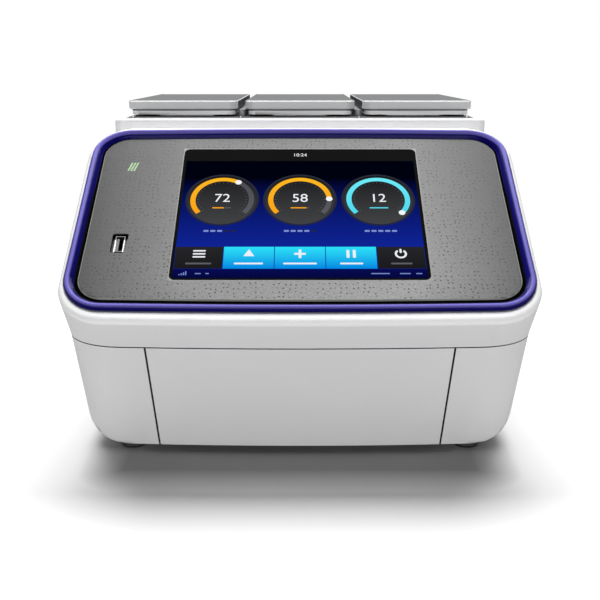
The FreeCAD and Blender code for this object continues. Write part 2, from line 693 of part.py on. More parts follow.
half_panel = half_body - dims.rear_corner - dims.panel_margin
panel_low = dims.base_height + dims.wall + dims.play
panel_high = below_seam - dims.panel_drop
panel_back = rear - dims.wall
panel_front = panel_back - dims.panel_thick
head_back = rear - dims.head_sink
panel_screws = [(x, z) for x in (half_panel - dims.screw_margin, dims.screw_margin - half_panel)
                for z in (panel_low + dims.screw_margin, panel_high - dims.screw_margin)]
foot_places = [(x, y) for x in mirrored(dims.foot_across / 2)
               for y in (front + dims.foot_inset, rear - dims.foot_inset / 2)]
board_x = (dims.board_left - half_body, dims.board_left - half_body + dims.board_width)
board_y = (dims.board_front, panel_front - dims.play)
board_posts = [(x, y) for x in (board_x[0] + dims.post_inset, board_x[1] - dims.post_inset)
               for y in (board_y[0] + dims.post_inset, board_y[1] - dims.post_inset * 2)]
board_top = dims.board_height + dims.board_thick


switch_width = dims.rocker_width + dims.rocker_side * 2
switch_tall = dims.rocker_long + dims.rocker_side * 2
chassis_front = deck_front + dims.chassis_setback
# the middles of the chips and their sizes, all as shares of the board's width
main_chips = ((0.3, 0.46, 0.27, 0.27, 0.05), (0.66, 0.52, 0.19, 0.24, 0.025), (0.48, 0.87, 0.48, 0.13, 0.065),
              (0.83, 0.3, 0.11, 0.11, 0.1))


def build_feet():
    pads = []
    for i, (x, y) in enumerate(foot_places):
        pads.append(rod(f"foot_pad_{i}", dims.foot_radius, (x, y, 0), dims.pad_thick))
    node("rubber_feet", group("foot_pads", pads))


def build_rear_panel():
    plate = box("rear_plate", mirrored(half_panel), (panel_front, panel_back), (panel_low, panel_high))
    through = (panel_front - dims.past, rear)
    gap = dims.play
    inlet = box("inlet_hole", around(dims.inlet_across, dims.inlet_width), through,
                (dims.inlet_height, dims.inlet_height + dims.inlet_tall))
    switch = box("switch_hole", around(dims.rocker_across, switch_width), through,
                 around(dims.rocker_height, switch_tall))
    network = box("network_hole", around(dims.port_across, dims.jack_width + gap * 2), through,
                  (board_top - gap, board_top + dims.jack_tall + gap))
    usb = box("usb_hole", around(dims.usb_pair_across, dims.usb_pair_width + gap * 2), through,
              (board_top - gap, board_top + dims.usb_pair_tall + gap))
    vents = []
    for i in range(9):
        x = board_x[0] + dims.vent_inset + dims.vent_pitch * i
        vents.append(box(f"rear_vent_{i}", (x, x + dims.vent_width), through,
                         (board_top + dims.vent_inset, panel_high - dims.panel_lap)))
    holes = []
    for i, (x, z) in enumerate(panel_screws):
        holes.append(rod(f"panel_screw_hole_{i}", dims.screw_shank, (x, panel_front - dims.past, z),
                         dims.panel_thick + dims.past * 2, "y"))
    node("rear_panel", cut("rear_panel_body", plate, inlet, switch, network, usb, *vents, *holes))
    screws = []
    start = panel_front - dims.screw_reach
    for i, (x, z) in enumerate(panel_screws):
        head = rod(f"screw_head_{i}", dims.screw_head, (x, head_back, z), dims.head_thick, "y")
        shank = rod(f"screw_shank_{i}", dims.screw_shank, (x, start, z), head_back - start, "y")
        screws.append(fuse(f"panel_screw_{i}", head, shank))
    node("housing_screws", group("panel_screw_group", screws))


def build_mains_inlet():
    # A flanged socket with a keyed mouth and three pins, and a fuse drawer above the mouth.
    x = dims.inlet_across
    z = dims.inlet_height
    wide = dims.inlet_width
    flange = box("inlet_flange", around(x, wide + dims.flange_edge * 2),
                 (panel_back, panel_back + dims.panel_thick),
                 (z - dims.flange_edge, z + dims.inlet_tall + dims.flange_edge))
    barrel = box("inlet_barrel", around(x, wide), (panel_back - dims.inlet_deep, panel_back),
                 (z, z + dims.inlet_tall))
    half = wide * 3 / 7
    low = z + dims.inlet_tall * 0.08
    side = z + dims.inlet_tall * 0.35
    top = z + dims.inlet_tall * 0.49
    mouth = front_prism("inlet_mouth", [(x - half, low), (x + half, low), (x + half, side),
                                        (x + wide / 4, top),
                                        (x - wide / 4, top), (x - half, side)], [0] * 6,
                        (panel_back - dims.inlet_deep * 0.6, rear))
    drawer_low = z + dims.inlet_tall * 0.65
    drawer_high = z + dims.inlet_tall * 0.9
    half = wide * 0.36
    slot_end = panel_back - dims.inlet_deep * 0.77
    slot = box("drawer_slot", (x - half, x + half), (slot_end, rear), (drawer_low, drawer_high))
    pins = []
    for i, (across, up) in enumerate(((-0.25, 0.25), (0.25, 0.25), (0, 0.35))):
        pins.append(box(f"inlet_pin_{i}", around(x + wide * across, dims.inlet_pin),
                        (panel_back - dims.inlet_deep * 0.7, panel_back - dims.panel_thick),
                        around(z + dims.inlet_tall * up, dims.inlet_pin * 2)))
    shell = cut("inlet_shell", fuse("inlet_outer", flange, barrel), mouth, slot)
    node("mains_inlet", fuse("inlet_body", shell, *pins))
    gap = dims.play
    face_front = panel_back - dims.panel_thick
    face_back = rear - dims.wall / 2
    face = box("drawer_face", (x - half + gap, x + half - gap), (face_front, face_back),
               (drawer_low + gap, drawer_high - gap))
    tray = box("drawer_tray", (x - half + gap * 4, x + half - gap * 4), (slot_end + gap, face_front),
               (drawer_low + gap * 4, drawer_high - gap * 4))
    grip = box("drawer_grip", around(x, wide / 4), (face_back - dims.past, rear),
               around(drawer_high, dims.wall))
    node("fuse_drawer", cut("drawer_body", fuse("drawer_outer", face, tray), grip))


def build_power_rocker():
    x = dims.rocker_across
    z = dims.rocker_height
    pivot_y = panel_back - dims.rocker_sink
    frame = dims.rocker_frame
    bezel = box("switch_bezel", around(x, switch_width + frame * 2),
                (panel_back, panel_back + dims.panel_thick * 0.8),
                around(z, switch_tall + frame * 2))
    body = box("switch_body", around(x, switch_width), (panel_back - dims.rocker_deep, panel_back),
               around(z, switch_tall))
    well = box("switch_well", around(x, dims.rocker_width + dims.play * 2),
               (panel_back - dims.rocker_deep / 2, rear), around(z, dims.rocker_long + dims.play * 4))
    axle = rod("switch_axle", dims.rocker_axle, (x - dims.rocker_width / 2 - dims.past, pivot_y, z),
               dims.rocker_width + dims.past * 2, "x")
    node("switch_housing", fuse("switch_joined", cut("switch_shell", fuse("switch_outer", bezel, body),
                                                     well), axle))
    # the rocker is drawn about its own axle, with a shallow V in its face, and rests on one side
    end = dims.rocker_long / 2
    heel = dims.rocker_long * 0.19
    tip = dims.rocker_face
    corners = [(-dims.rocker_back, -heel), (tip * 0.42, -end), (tip, -end), (tip * 0.7, 0), (tip, end),
               (tip * 0.42, end), (-dims.rocker_back, heel)]
    blank = side_prism("rocker_blank", corners, [0] * 7, mirrored(dims.rocker_width / 2))
    bore = rod("rocker_bore", dims.rocker_axle + dims.pin_play, (-dims.rocker_width, 0, 0),
               dims.rocker_width * 2, "x")
    item = cut("rocker_body", blank, bore)
    place(item, (x, pivot_y, z), FreeCAD.Rotation(X_AXIS, dims.rocker_tilt.value))
    item.setExpression("Placement.Rotation.Angle", dims.rocker_tilt.text)
    node("power_rocker", item)


def build_ports():
    # A network jack with its latch notch, and a stacked pair of sockets with their tongues.
    x = dims.port_across
    z = board_top
    face = panel_back + dims.port_rise
    wide = dims.jack_width
    tall = dims.jack_tall
    depth = (face - dims.jack_deep * 0.7, rear)
    jack = box("jack_shell", around(x, wide), (face - dims.jack_deep, face), (z, z + tall))
    opening = box("jack_opening", around(x, wide * 0.74), depth, (z + tall * 0.15, z + tall * 0.69))
    latch = box("jack_latch", around(x, wide * 0.37), depth, (z + tall * 0.66, z + tall * 0.87))
    node("network_port", cut("jack_body", jack, opening, latch))
    x = dims.usb_pair_across
    wide = dims.usb_pair_width
    tall = dims.usb_pair_tall
    deep = dims.usb_pair_deep
    shell = box("usb_pair_shell", around(x, wide), (face - deep, face), (z, z + tall))
    slots = []
    tongues = []
    for i, share in enumerate((0.075, 0.56)):
        low = z + tall * share
        top = low + tall * 0.35
        slots.append(box(f"usb_pair_slot_{i}", around(x, wide * 0.88), (face - deep * 0.7, rear), (low, top)))
        tongues.append(box(f"usb_pair_tongue_{i}", around(x, wide * 0.78),
                           (face - deep * 0.75, face - dims.past),
                           (top - tall * 0.14, top)))
    node("rear_usb_ports", fuse("usb_pair_body", cut("usb_pair_hollow", shell, *slots), *tongues))


def build_electronics():
    floor = dims.base_height + dims.wall
    back = panel_back - dims.supply_back
    start = back - dims.supply_depth
    left = dims.supply_left
    case = box("supply_case", (left, left + dims.supply_width), (start, back),
               (floor, floor + dims.supply_height))
    slots = []
    for i in range(8):
        y = start + dims.supply_depth / 10 * (i + 1)
        slots.append(box(f"supply_slot_{i}", (left - dims.past, left + dims.wall), around(y, dims.vent_width),
                         (floor + dims.supply_vent, floor + dims.supply_height - dims.supply_vent)))
    node("power_supply", cut("supply_body", case, *slots))
    board = box("main_sheet", board_x, board_y, (dims.board_height, board_top))
    chips = []
    wide = dims.board_width
    for i, (across, along, width, length, height) in enumerate(main_chips):
        chips.append(box(f"main_chip_{i}", around(board_x[0] + wide * across, wide * width),
                         around(board_y[0] + wide * along, wide * length), (board_top,
                                                                            board_top + wide * height)))
    node("main_board", fuse("main_board_body", board, *chips))


def build_bay():
    outer = box("tray_outer", mirrored(half_bay + dims.sheet_thick), (console_back, rear - dims.tray_setback),
                (dims.bay_floor - dims.sheet_thick, dims.shoulder_height - dims.wall))
    inner = box("tray_inner", mirrored(half_bay), (console_back + dims.sheet_thick, rear),
                (dims.bay_floor, dims.shoulder_height))
    node("bay_tray", cut("tray_body", outer, inner))
    rails = []
    for i, middle in enumerate(mirrored(half_bay - dims.rail_inset)):
        rails.append(box(f"rail_{i}", around(middle, dims.rail_width),
                         (console_back + dims.rail_start, rear - dims.rail_end), (dims.bay_floor, rail_top)))
    node("bay_rails", group("rail_group", rails))
    wall_y = console_back + dims.sheet_thick
    wide = dims.dock_width + dims.dock_gap * 2
    tall = dims.dock_tall + dims.dock_gap * 2
    edge = dims.dock_wall * 2
    socket = box("dock_outer", around(as_size(0), wide + edge), (wall_y, wall_y + dims.dock_deep),
                 around(dims.dock_height, tall + edge))
    well = box("dock_well", around(as_size(0), wide), (wall_y + dims.dock_floor, chassis_front),
               around(dims.dock_height, tall))
    node("dock_socket", cut("dock_socket_body", socket, well))


# The sliding module

fan_size = (half_chassis * 2 - dims.chassis_wall * 2 - dims.fan_gap * 4) / 3
fan_centres = [(fan_size + dims.fan_gap) * step for step in (-1, 0, 1)]
grille_front = deck_rear - dims.deck_wall
fan_front = grille_front - dims.fan_depth
recess_y = (deck_rear - dims.recess_back - dims.recess_length, deck_rear - dims.recess_back)
bail_y = recess_y[0] + dims.bail_inset
bail_z = deck_top - dims.recess_depth + dims.bail_thick / 2 + dims.bail_rise
lever_front = deck_front + dims.lid_front
lever_rear = deck_rear - dims.lid_rear
lever_round = dims.lever_thick / 2
pivot_y = lever_rear - lever_round
pivot_z = lever_bottom + lever_round
hinge_y = pivot_y + dims.hinge_back
hinge_z = deck_top + dims.hinge_rise


def build_module_cover():
    low = dims.shoulder_height + dims.shoulder_gap
    radii = [dims.deck_corner, dims.deck_corner, dims.deck_rear_corner, dims.deck_rear_corner]
    block = rounded_block("deck_block", mirrored(half_deck), (deck_front, deck_rear), (low, deck_top), radii)
    rounded = round_edges("deck_rounded", block, dims.deck_edge, lambda edge: at_height(edge, deck_top))
    wall = dims.deck_wall
    room = rounded_block("deck_room", mirrored(half_deck - wall), (deck_front + wall, deck_rear - wall),
                         (low - dims.past, deck_under), [radius - wall for radius in radii])
    recess_x = mirrored(dims.recess_width / 2)
    tub = box("recess_tub", (recess_x[0] - wall, recess_x[1] + wall),
              (recess_y[0] - wall, recess_y[1] + wall),
              (deck_top - dims.recess_depth - wall, deck_top - dims.past))
    recess = rounded_block("recess_room", recess_x, recess_y, (deck_top - dims.recess_depth,
                                                               deck_top + dims.past),
                           [dims.recess_corner] * 4)
    mouths = []
    for i, x in enumerate(lid_centres):
        mouths.append(rounded_block(f"mouth_{i}", around(x, dims.mouth_width),
                                    around(block_y, dims.mouth_length),
                                    (deck_under - dims.past, deck_top + dims.past), [dims.mouth_corner] * 4))
    bores = []
    for i, x in enumerate((recess_x[0] - wall - dims.past, recess_x[1] - dims.past)):
        bores.append(rod(f"bail_bore_{i}", dims.bail_pin + dims.pin_play, (x, bail_y, bail_z),
                         wall + dims.past * 2, "x"))
    shell = cut("deck_shell", rounded, room)
    node("module_cover", cut("deck_body", fuse("deck_joined", shell, tub), recess, *mouths, *bores))


def build_chassis():
    wall = dims.chassis_wall
    past = dims.past
    outer = box("chassis_outer", mirrored(half_chassis), (chassis_front, grille_front),
                (rail_top, deck_under))
    inner = box("chassis_inner", mirrored(half_chassis - wall), (chassis_front + wall, deck_rear),
                (chassis_floor, deck_top))
    through = (chassis_front - past, chassis_front + wall + past)
    plug_hole = box("chassis_plug_hole", around(as_size(0), dims.dock_width + dims.dock_collar * 4), through,
                    around(dims.dock_height, dims.dock_tall + dims.dock_collar * 4))
    vents = []
    for i in range(8):
        x = half_chassis * 2 / 9 * (i - 3.5)
        vents.append(box(f"chassis_vent_{i}", around(x, dims.chassis_vent), through,
                         (dims.dock_height + dims.chassis_vent, dims.shoulder_height - dims.chassis_vent)))
    notch = box("chassis_notch", mirrored(half_chassis + past),
                (deck_rear - dims.deck_rear_corner, deck_rear),
                (dims.shoulder_height + dims.shoulder_gap, deck_top))
    node("module_chassis", cut("chassis_body", outer, inner, plug_hole, notch, *vents))
    board_y = chassis_front + wall + dims.board_stand
    board_back = board_y + dims.board_thick
    x_ends = mirrored(dims.module_board_width / 2)
    z_ends = around(dims.dock_height - dims.board_shift, dims.module_board_tall)
    board = box("module_board_sheet", x_ends, (board_y, board_back), z_ends)
    posts = []
    for i, x in enumerate((x_ends[0] + dims.post_inset, x_ends[1] - dims.post_inset)):
        for j, z in enumerate((z_ends[0] + dims.post_radius, z_ends[1] - dims.post_radius)):
            posts.append(rod(f"module_board_post_{i}_{j}", dims.post_radius, (x, chassis_front + wall, z),
                             dims.board_stand, "y"))
    chip = box("module_chip", around(as_size(0), dims.module_board_tall * 0.7),
               (board_back, board_back + dims.chip_height),
               around(dims.dock_height - dims.board_shift * 2, dims.module_board_tall / 2))
    node("module_board", fuse("module_board_body", board, chip, *posts))
    collar = dims.dock_collar * 2
    plug = box("plug_body", around(as_size(0), dims.dock_width + collar * 2 - dims.play * 2),
               (chassis_front - dims.dock_proud, board_y),
               around(dims.dock_height, dims.dock_tall + collar * 2 - dims.play * 2))
    tongue = box("plug_tongue", around(as_size(0), dims.dock_width),
                 (console_back + dims.sheet_thick + dims.dock_floor + dims.play, chassis_front),
                 around(dims.dock_height, dims.dock_tall))
    node("dock_plug", fuse("dock_plug_body", plug, tongue))


def build_grille():
    plate = box("grille_plate", mirrored(half_chassis), (grille_front, deck_rear),
                (rail_top, dims.shoulder_height + dims.shoulder_gap))
    slots = []
    radius = fan_size / 2 - dims.frame_wall
    for i, x in enumerate(fan_centres):
        for step in range(-4, 5):
            reach = math.sqrt(1 - (step * dims.grille_pitch.value / radius.value) ** 2)
            slots.append(box(f"grille_slot_{i}_{step + 4}", around(x + dims.grille_pitch * step,
                                                                   dims.grille_slot),
                             (grille_front - dims.past, deck_rear + dims.past),
                             around(dims.fan_height, radius * reach * 2)))
    node("module_grille", cut("grille_body", plate, group("grille_slots", slots)))


def build_fans():
    # Square frames with a round duct, and a cross of struts that holds the motor and its spindle.
    frames = []
    z = dims.fan_height
    face = grille_front - dims.strut * 0.75
    for i, x in enumerate(fan_centres):
        square = around(x, fan_size)
        frame = rounded_block(f"fan_blank_{i}", square, (fan_front, grille_front), around(z, fan_size),
                              [0] * 4)
        duct = rod(f"fan_duct_{i}", fan_size / 2 - dims.duct_wall, (x, fan_front - dims.past, z),
                   dims.fan_depth + dims.past * 2, "y")
        motor = rod(f"fan_motor_{i}", dims.hub_radius, (x, grille_front - dims.strut, z), dims.strut, "y")
        spindle = rod(f"fan_spindle_{i}", dims.pin_radius, (x, fan_front + dims.strut, z),
                      dims.fan_depth - dims.strut * 1.5, "y")
        reach = fan_size - dims.duct_wall
        bar = box(f"fan_strut_{i}", around(x, reach), (face, grille_front), around(z, dims.strut))
        post = box(f"fan_post_{i}", around(x, dims.strut), (face, grille_front), around(z, reach))
        frames.append(fuse(f"fan_frame_{i}", cut(f"fan_ring_{i}", frame, duct), motor, bar, post, spindle))
    node("fan_frames", group("fan_frame_group", frames))
    for i, x in enumerate(fan_centres):
        node(f"fan_rotor_{i + 1}", build_rotor(i, x))


def build_rotor(i, x):
    # A hub with seven blades whose pitch falls from root to tip; it turns about Y.
    z = dims.fan_height
    start = fan_front + dims.rotor_gap
    length = dims.fan_depth - dims.rotor_gap * 3
    middle = start + length / 2
    hub = rod(f"rotor_hub_{i}", dims.hub_radius, (x, start, z), length, "y")
    bore = rod(f"rotor_bore_{i}", dims.pin_radius + dims.pin_play, (x, start - dims.past, z),
               length + dims.past * 2, "y")
    tip = fan_size / 2 - dims.duct_wall * 2
    blades = []
    for count in range(7):
        sections = []
        for radius, pitch, chord in ((dims.hub_radius - dims.duct_wall, 50, fan_size / 6),
                                     (tip, 28, fan_size / 4)):
            section = rectangle(mirrored(chord / 2), mirrored(dims.blade_thick / 2))
            base = outline(f"blade_{i}_{count}_{pitch}", section, [0] * 4, (0, 0, 0))
            around_hub = FreeCAD.Rotation(FreeCAD.Vector(0, 1, 0), 360 / 7 * count)
            turn = around_hub.multiply(FreeCAD.Rotation(FreeCAD.Vector(0, 0, 1), pitch))
            arm = around_hub.multVec(FreeCAD.Vector(0, 0, 1))
            place(base, (x + radius * arm.x, middle, z + radius * arm.z), turn)
            sections.append(base)
        blades.append(loft(f"blade_{i}_{count}", *sections))
    return cut(f"rotor_{i}", fuse(f"rotor_solid_{i}", hub, *blades), bore)


def build_cooling():
    sink_y = (deck_front + dims.sink_setback, deck_front + dims.sink_setback + dims.sink_length)
    width = lid_pitch - dims.sink_gap
    base_low = sink_top - dims.sink_base
    elements = []
    fin_count = 12
    for i, x in enumerate(lid_centres):
        pieces = [box(f"sink_base_{i}", around(x, width), sink_y, (base_low, sink_top))]
        for fin in range(fin_count):
            fin_x = x - width / 2 + (width - dims.fin_thick) / (fin_count - 1) * fin
            pieces.append(box(f"fin_{i}_{fin}", (fin_x, fin_x + dims.fin_thick), sink_y,
                              (chassis_floor, base_low)))
        node(f"heat_sink_{i + 1}", fuse(f"sink_{i}", *pieces))
        for side in (-1, 1):
            elements.append(box(f"element_{i}_{side + 1}", around(x, dims.element_size),
                                around(block_y + dims.block_length / 4 * side, dims.element_size),
                                (sink_top, block_bottom)))
    node("cooling_elements", group("element_group", elements))


def build_block(i, x):
    # A block with 32 tapered wells, in a frame that reaches up to the opening in the deck.
    blank = box(f"block_blank_{i}", around(x, dims.block_width), around(block_y, dims.block_length),
                (block_bottom, block_top))
    wells = []
    for column in range(4):
        for line in range(8):
            at = (x + dims.well_pitch * (column - 1.5), block_y + dims.well_pitch * (line - 3.5),
                  block_top - dims.well_depth)
            wells.append(cone(f"well_{i}_{column}_{line}", dims.well_bottom / 2, dims.well_top / 2, at,
                              dims.well_depth))
    node(f"sample_block_{i + 1}", cut(f"block_{i}", blank, group(f"wells_{i}", wells)))
    gap = dims.play * 2
    edge = dims.frame_wall * 2
    corner = dims.mouth_corner
    outer = rounded_block(f"frame_outer_{i}", around(x, dims.mouth_width + edge),
                          around(block_y, dims.mouth_length + edge), (sink_top, deck_under),
                          [corner + dims.frame_wall] * 4)
    inner = box(f"frame_inner_{i}", around(x, dims.block_width + gap),
                around(block_y, dims.block_length + gap),
                (sink_top - dims.past, deck_under))
    mouth = rounded_block(f"frame_mouth_{i}", around(x, dims.mouth_width), around(block_y, dims.mouth_length),
                          (block_top, deck_top), [corner] * 4)
    node(f"block_frame_{i + 1}", cut(f"frame_{i}", outer, inner, mouth))


# Lids, levers and hinges

hinge_places = [x + dims.hinge_across / 2 * side for x in lid_centres for side in (-1, 1)]


def build_hinges():
    # Forked brackets on the deck, each with a pin across the fork.
    brackets = []
    pins = []
    near = hinge_y - dims.hinge_block
    top = hinge_z + dims.hinge_block
    for i, x in enumerate(hinge_places):
        half = dims.knuckle / 2 + dims.play
        outer = half + dims.cheek
        profile = [(near, deck_top), (hinge_y + dims.hinge_foot, deck_top), (hinge_y + dims.hinge_block, top),
                   (near, top)]
        whole = side_prism(f"bracket_blank_{i}", profile, [0, 0, dims.cheek, dims.cheek],
                           (x - outer, x + outer))
        gap = box(f"bracket_gap_{i}", (x - half, x + half),
                  (near - dims.past, hinge_y + dims.hinge_radius + dims.play), (deck_top - dims.past,
                                                                                top + dims.past))
        bore = rod(f"bracket_bore_{i}", dims.pin_radius, (x - outer - dims.past, hinge_y, hinge_z),
                   (outer + dims.past) * 2, "x")
        brackets.append(cut(f"bracket_{i}", whole, gap, bore))
        pins.append(rod(f"hinge_pin_{i}", dims.pin_radius, (x - outer, hinge_y, hinge_z), outer * 2, "x"))
    node("lid_hinge_brackets", group("bracket_group", brackets))
    node("lid_hinge_pins", group("hinge_pin_group", pins))


def build_lid(i, x):
    # A slab with a raised core inside the lever, a barrel for the lever's pin and two knuckles.
    past = dims.past
    half_slab = lever_width / 2 - dims.slab_inset
    corner = dims.lever_corner - dims.slab_inset
    neck_y = around(pivot_y, dims.neck_thick)
    slab = rounded_block(f"slab_{i}", (x - half_slab, x + half_slab),
                         (lever_front + dims.slab_inset, neck_y[1]),
                         (lid_bottom, slab_top), [corner, corner, past, past])
    inset = dims.lever_skirt + dims.lever_slack
    half_core = lever_width / 2 - inset
    corner = dims.lever_corner - inset
    low = slab_top - dims.lever_slack
    core = rounded_block(f"core_{i}", (x - half_core, x + half_core),
                         (lever_front + inset, neck_y[0] - dims.core_back),
                         (low, lid_top - dims.lever_top - dims.lever_slack), [corner, corner, 0, 0])
    barrel = rod(f"barrel_{i}", lever_round - dims.play / 2, (x - half_core, pivot_y, pivot_z),
                 half_core * 2, "x")
    neck = box(f"neck_{i}", (x - half_core, x + half_core), neck_y, (low, pivot_z))
    knuckles = []
    for side in (-1, 1):
        middle = x + dims.hinge_across / 2 * side
        knuckles.append(rod(f"knuckle_{i}_{side + 1}", dims.hinge_radius,
                            (middle - dims.knuckle / 2, hinge_y, hinge_z), dims.knuckle, "x"))
        knuckles.append(box(f"knuckle_arm_{i}_{side + 1}", around(middle, dims.knuckle),
                            (neck_y[1] - past, hinge_y),
                            (lid_bottom, slab_top)))
    solid = fuse(f"lid_solid_{i}", slab, core, barrel, neck, *knuckles)
    start = x - half_core - past
    length = (half_core + past) * 2
    pivot = rod(f"lid_pivot_bore_{i}", dims.pin_radius, (start, pivot_y, pivot_z), length, "x")
    hinge = rod(f"lid_hinge_bore_{i}", dims.pin_radius + dims.pin_play, (start, hinge_y, hinge_z), length,
                "x")
    node(f"lid_frame_{i + 1}", cut(f"lid_body_{i}", solid, pivot, hinge))
    pin_half = lever_width / 2 - dims.play
    node(f"lever_pin_{i + 1}", rod(f"lever_pin_body_{i}", dims.pin_radius, (x - pin_half, pivot_y, pivot_z),
                                   pin_half * 2, "x"))
    plate = rounded_block(f"plate_{i}", around(x, dims.plate_width), around(block_y, dims.plate_length),
                          (plate_bottom, lid_bottom), [dims.plate_corner] * 4)
    node(f"heated_plate_{i + 1}", plate)


def build_lever(i, x):
    # A shallow cap over the lid, rounded at its rear end about the pin that it lifts on.
    past = dims.past
    skirt = dims.lever_skirt
    half = lever_width / 2
    sides = (x - half, x + half)
    blank = rounded_block(f"lever_blank_{i}", sides, (lever_front, lever_rear), (lever_bottom, lid_top),
                          [dims.lever_corner, dims.lever_corner, 0, 0])
    end_radius = lever_round - dims.lever_flat / 2
    near = lever_front - past
    profile = [(near, lever_bottom), (lever_rear, lever_bottom), (lever_rear, lid_top), (near, lid_top)]
    end = side_prism(f"lever_end_{i}", profile, [0, end_radius, end_radius, 0], sides)
    shaped = common(f"lever_shaped_{i}", blank, end)
    # the top edges round the front and the sides, but not the short ones at the hinged end
    wanted = lambda edge: at_height(edge, lid_top) and edge.BoundBox.YMin < lever_front.value + half.value
    rounded = round_edges(f"lever_rounded_{i}", shaped, dims.lever_edge, wanted)
    inner = (x - half + skirt, x + half - skirt)
    corner = dims.lever_corner - skirt
    room = rounded_block(f"lever_room_{i}", inner, (lever_front + skirt, lever_rear + past),
                         (lever_bottom - past, lid_top - dims.lever_top), [corner, corner, 0, 0])
    gap = box(f"lever_gap_{i}", inner, (pivot_y - lever_round - past, lever_rear + past),
              (lever_bottom - past, lid_top + past))
    bore = rod(f"lever_bore_{i}", dims.pin_radius + dims.pin_play, (sides[0] - past, pivot_y, pivot_z),
               lever_width + past * 2, "x")
    node(f"lid_lever_{i + 1}", cut(f"lever_body_{i}", rounded, room, gap, bore))


def build_dividers():
    ribs = []
    inset = dims.divider_inset
    for i, middle in enumerate(mirrored(lid_pitch / 2)):
        ribs.append(rounded_block(f"divider_{i}", around(middle, dims.divider_width),
                                  (lever_front + inset, pivot_y - inset),
                                  (deck_top, deck_top + dims.divider_height), [dims.divider_corner] * 4))
    node("lid_dividers", group("divider_group", ribs))


def build_handle():
    # A bail that lies in the deck's recess and lifts about two trunnions.
    past = dims.past
    half = dims.bail_width / 2
    bar = dims.bail_bar
    tall = (bail_z - dims.bail_thick / 2, bail_z + dims.bail_thick / 2)
    end = bail_y + dims.bail_reach
    corner = dims.bail_corner
    outer = rounded_block("bail_outer", mirrored(half), (bail_y - dims.bail_thick / 2, end), tall,
                          [0, 0, corner, corner])
    inner = rounded_block("bail_inner", mirrored(half - bar), (bail_y - dims.bail_thick, end - bar),
                          (tall[0] - past, tall[1] + past), [0, 0, corner / 2, corner / 2])
    reach = dims.recess_width / 2 + dims.deck_wall - dims.play * 2
    pins = rod("bail_trunnions", dims.bail_pin, (-reach, bail_y, bail_z), reach * 2, "x")
    clear = box("bail_between", mirrored(half - bar), around(bail_y, dims.bail_thick),
                (tall[0] - past, tall[1] + past))
    node("module_handle", fuse("bail_body", cut("bail_bow", outer, inner), cut("bail_ends", pins, clear)))


def build_module_screws():
    screws = []
    side = half_deck - dims.cap_inset
    for i, x in enumerate((-side, -lid_pitch / 2, lid_pitch / 2, side)):
        for row, y in enumerate((lever_front - dims.cap_front, hinge_y + dims.cap_back)):
            screws.append(rod(f"deck_screw_{i}_{row}", dims.cap_head, (x, y, deck_top), dims.cap_rise))
    node("module_screws", group("deck_screw_group", screws))


build_lower_housing()
build_front_cover()
build_upper_housing()
build_control_ring()
build_fascia()
build_status_light()
build_touch_glass()
build_front_usb_port()
build_feet()
build_rear_panel()
build_mains_inlet()
build_power_rocker()
build_ports()
build_electronics()
build_bay()
build_module_cover()
build_chassis()
build_grille()
build_fans()
build_cooling()
for index, centre in enumerate(lid_centres):
    build_block(index, centre)
build_hinges()
for index, centre in enumerate(lid_centres):
    build_lid(index, centre)
    build_lever(index, centre)
build_dividers()
build_handle()
build_module_screws()

doc.recompute()
for item in doc.Objects:
    if "Invalid" in item.State or "Error" in item.State:
        raise RuntimeError(f"{item.Label} failed: {item.State}")
for item in nodes:
    if item.Shape.isNull() or not item.Shape.isValid() or not item.Shape.Solids:
        raise RuntimeError(f"{item.Label} has no valid solid")
for item in nodes:
    item.Shape.exportStep(f"parts/{item.Label}.step")
print(len(nodes), "sub-parts written")
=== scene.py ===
import json
import math
import bpy
import bmesh
from mathutils import Matrix, Vector


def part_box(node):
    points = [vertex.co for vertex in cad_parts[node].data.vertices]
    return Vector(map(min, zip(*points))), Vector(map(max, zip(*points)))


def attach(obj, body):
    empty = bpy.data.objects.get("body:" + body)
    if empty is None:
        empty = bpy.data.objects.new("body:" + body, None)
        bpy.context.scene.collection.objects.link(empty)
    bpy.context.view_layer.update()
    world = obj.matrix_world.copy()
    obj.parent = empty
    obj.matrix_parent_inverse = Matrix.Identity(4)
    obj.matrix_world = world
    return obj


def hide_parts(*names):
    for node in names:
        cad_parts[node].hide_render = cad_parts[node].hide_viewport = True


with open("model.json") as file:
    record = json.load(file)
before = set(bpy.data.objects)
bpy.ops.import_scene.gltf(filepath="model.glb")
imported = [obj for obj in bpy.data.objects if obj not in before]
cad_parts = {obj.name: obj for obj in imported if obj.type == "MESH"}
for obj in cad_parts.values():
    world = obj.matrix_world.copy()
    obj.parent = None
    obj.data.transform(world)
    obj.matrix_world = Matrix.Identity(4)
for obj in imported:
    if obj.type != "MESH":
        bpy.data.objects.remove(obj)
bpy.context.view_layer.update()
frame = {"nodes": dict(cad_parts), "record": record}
mm = 0.001

# The console slopes up from the nose. Its own frame has X across, Y up the slope and Z out of it,
# with the origin in the middle of the touch glass, on the glass.
console = {"tilt": 35, "glassThick": 1.8 * mm}


def consoleMatrix():
    low, high = (Vector(corner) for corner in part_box("touch_glass"))
    turn = Matrix.Rotation(math.radians(console["tilt"]), 4, "X")
    return Matrix.Translation((low + high) / 2) @ turn @ Matrix.Translation((0, 0, console["glassThick"] / 2))


onGlass = consoleMatrix()


# Small helpers for materials

def newFinish(name, sockets):
    made = bpy.data.materials.new(name)
    made.use_nodes = True
    shader = made.node_tree.nodes["Principled BSDF"]
    for socket, value in sockets.items():
        shader.inputs[socket].default_value = value
    return made, shader


def addNode(made, kind, values=None, **settings):
    node = made.node_tree.nodes.new("ShaderNode" + kind)
    for name, value in settings.items():
        setattr(node, name, value)
    for name, value in (values or {}).items():
        node.inputs[name].default_value = value
    return node


def join(made, output, socket):
    made.node_tree.links.new(output, socket)


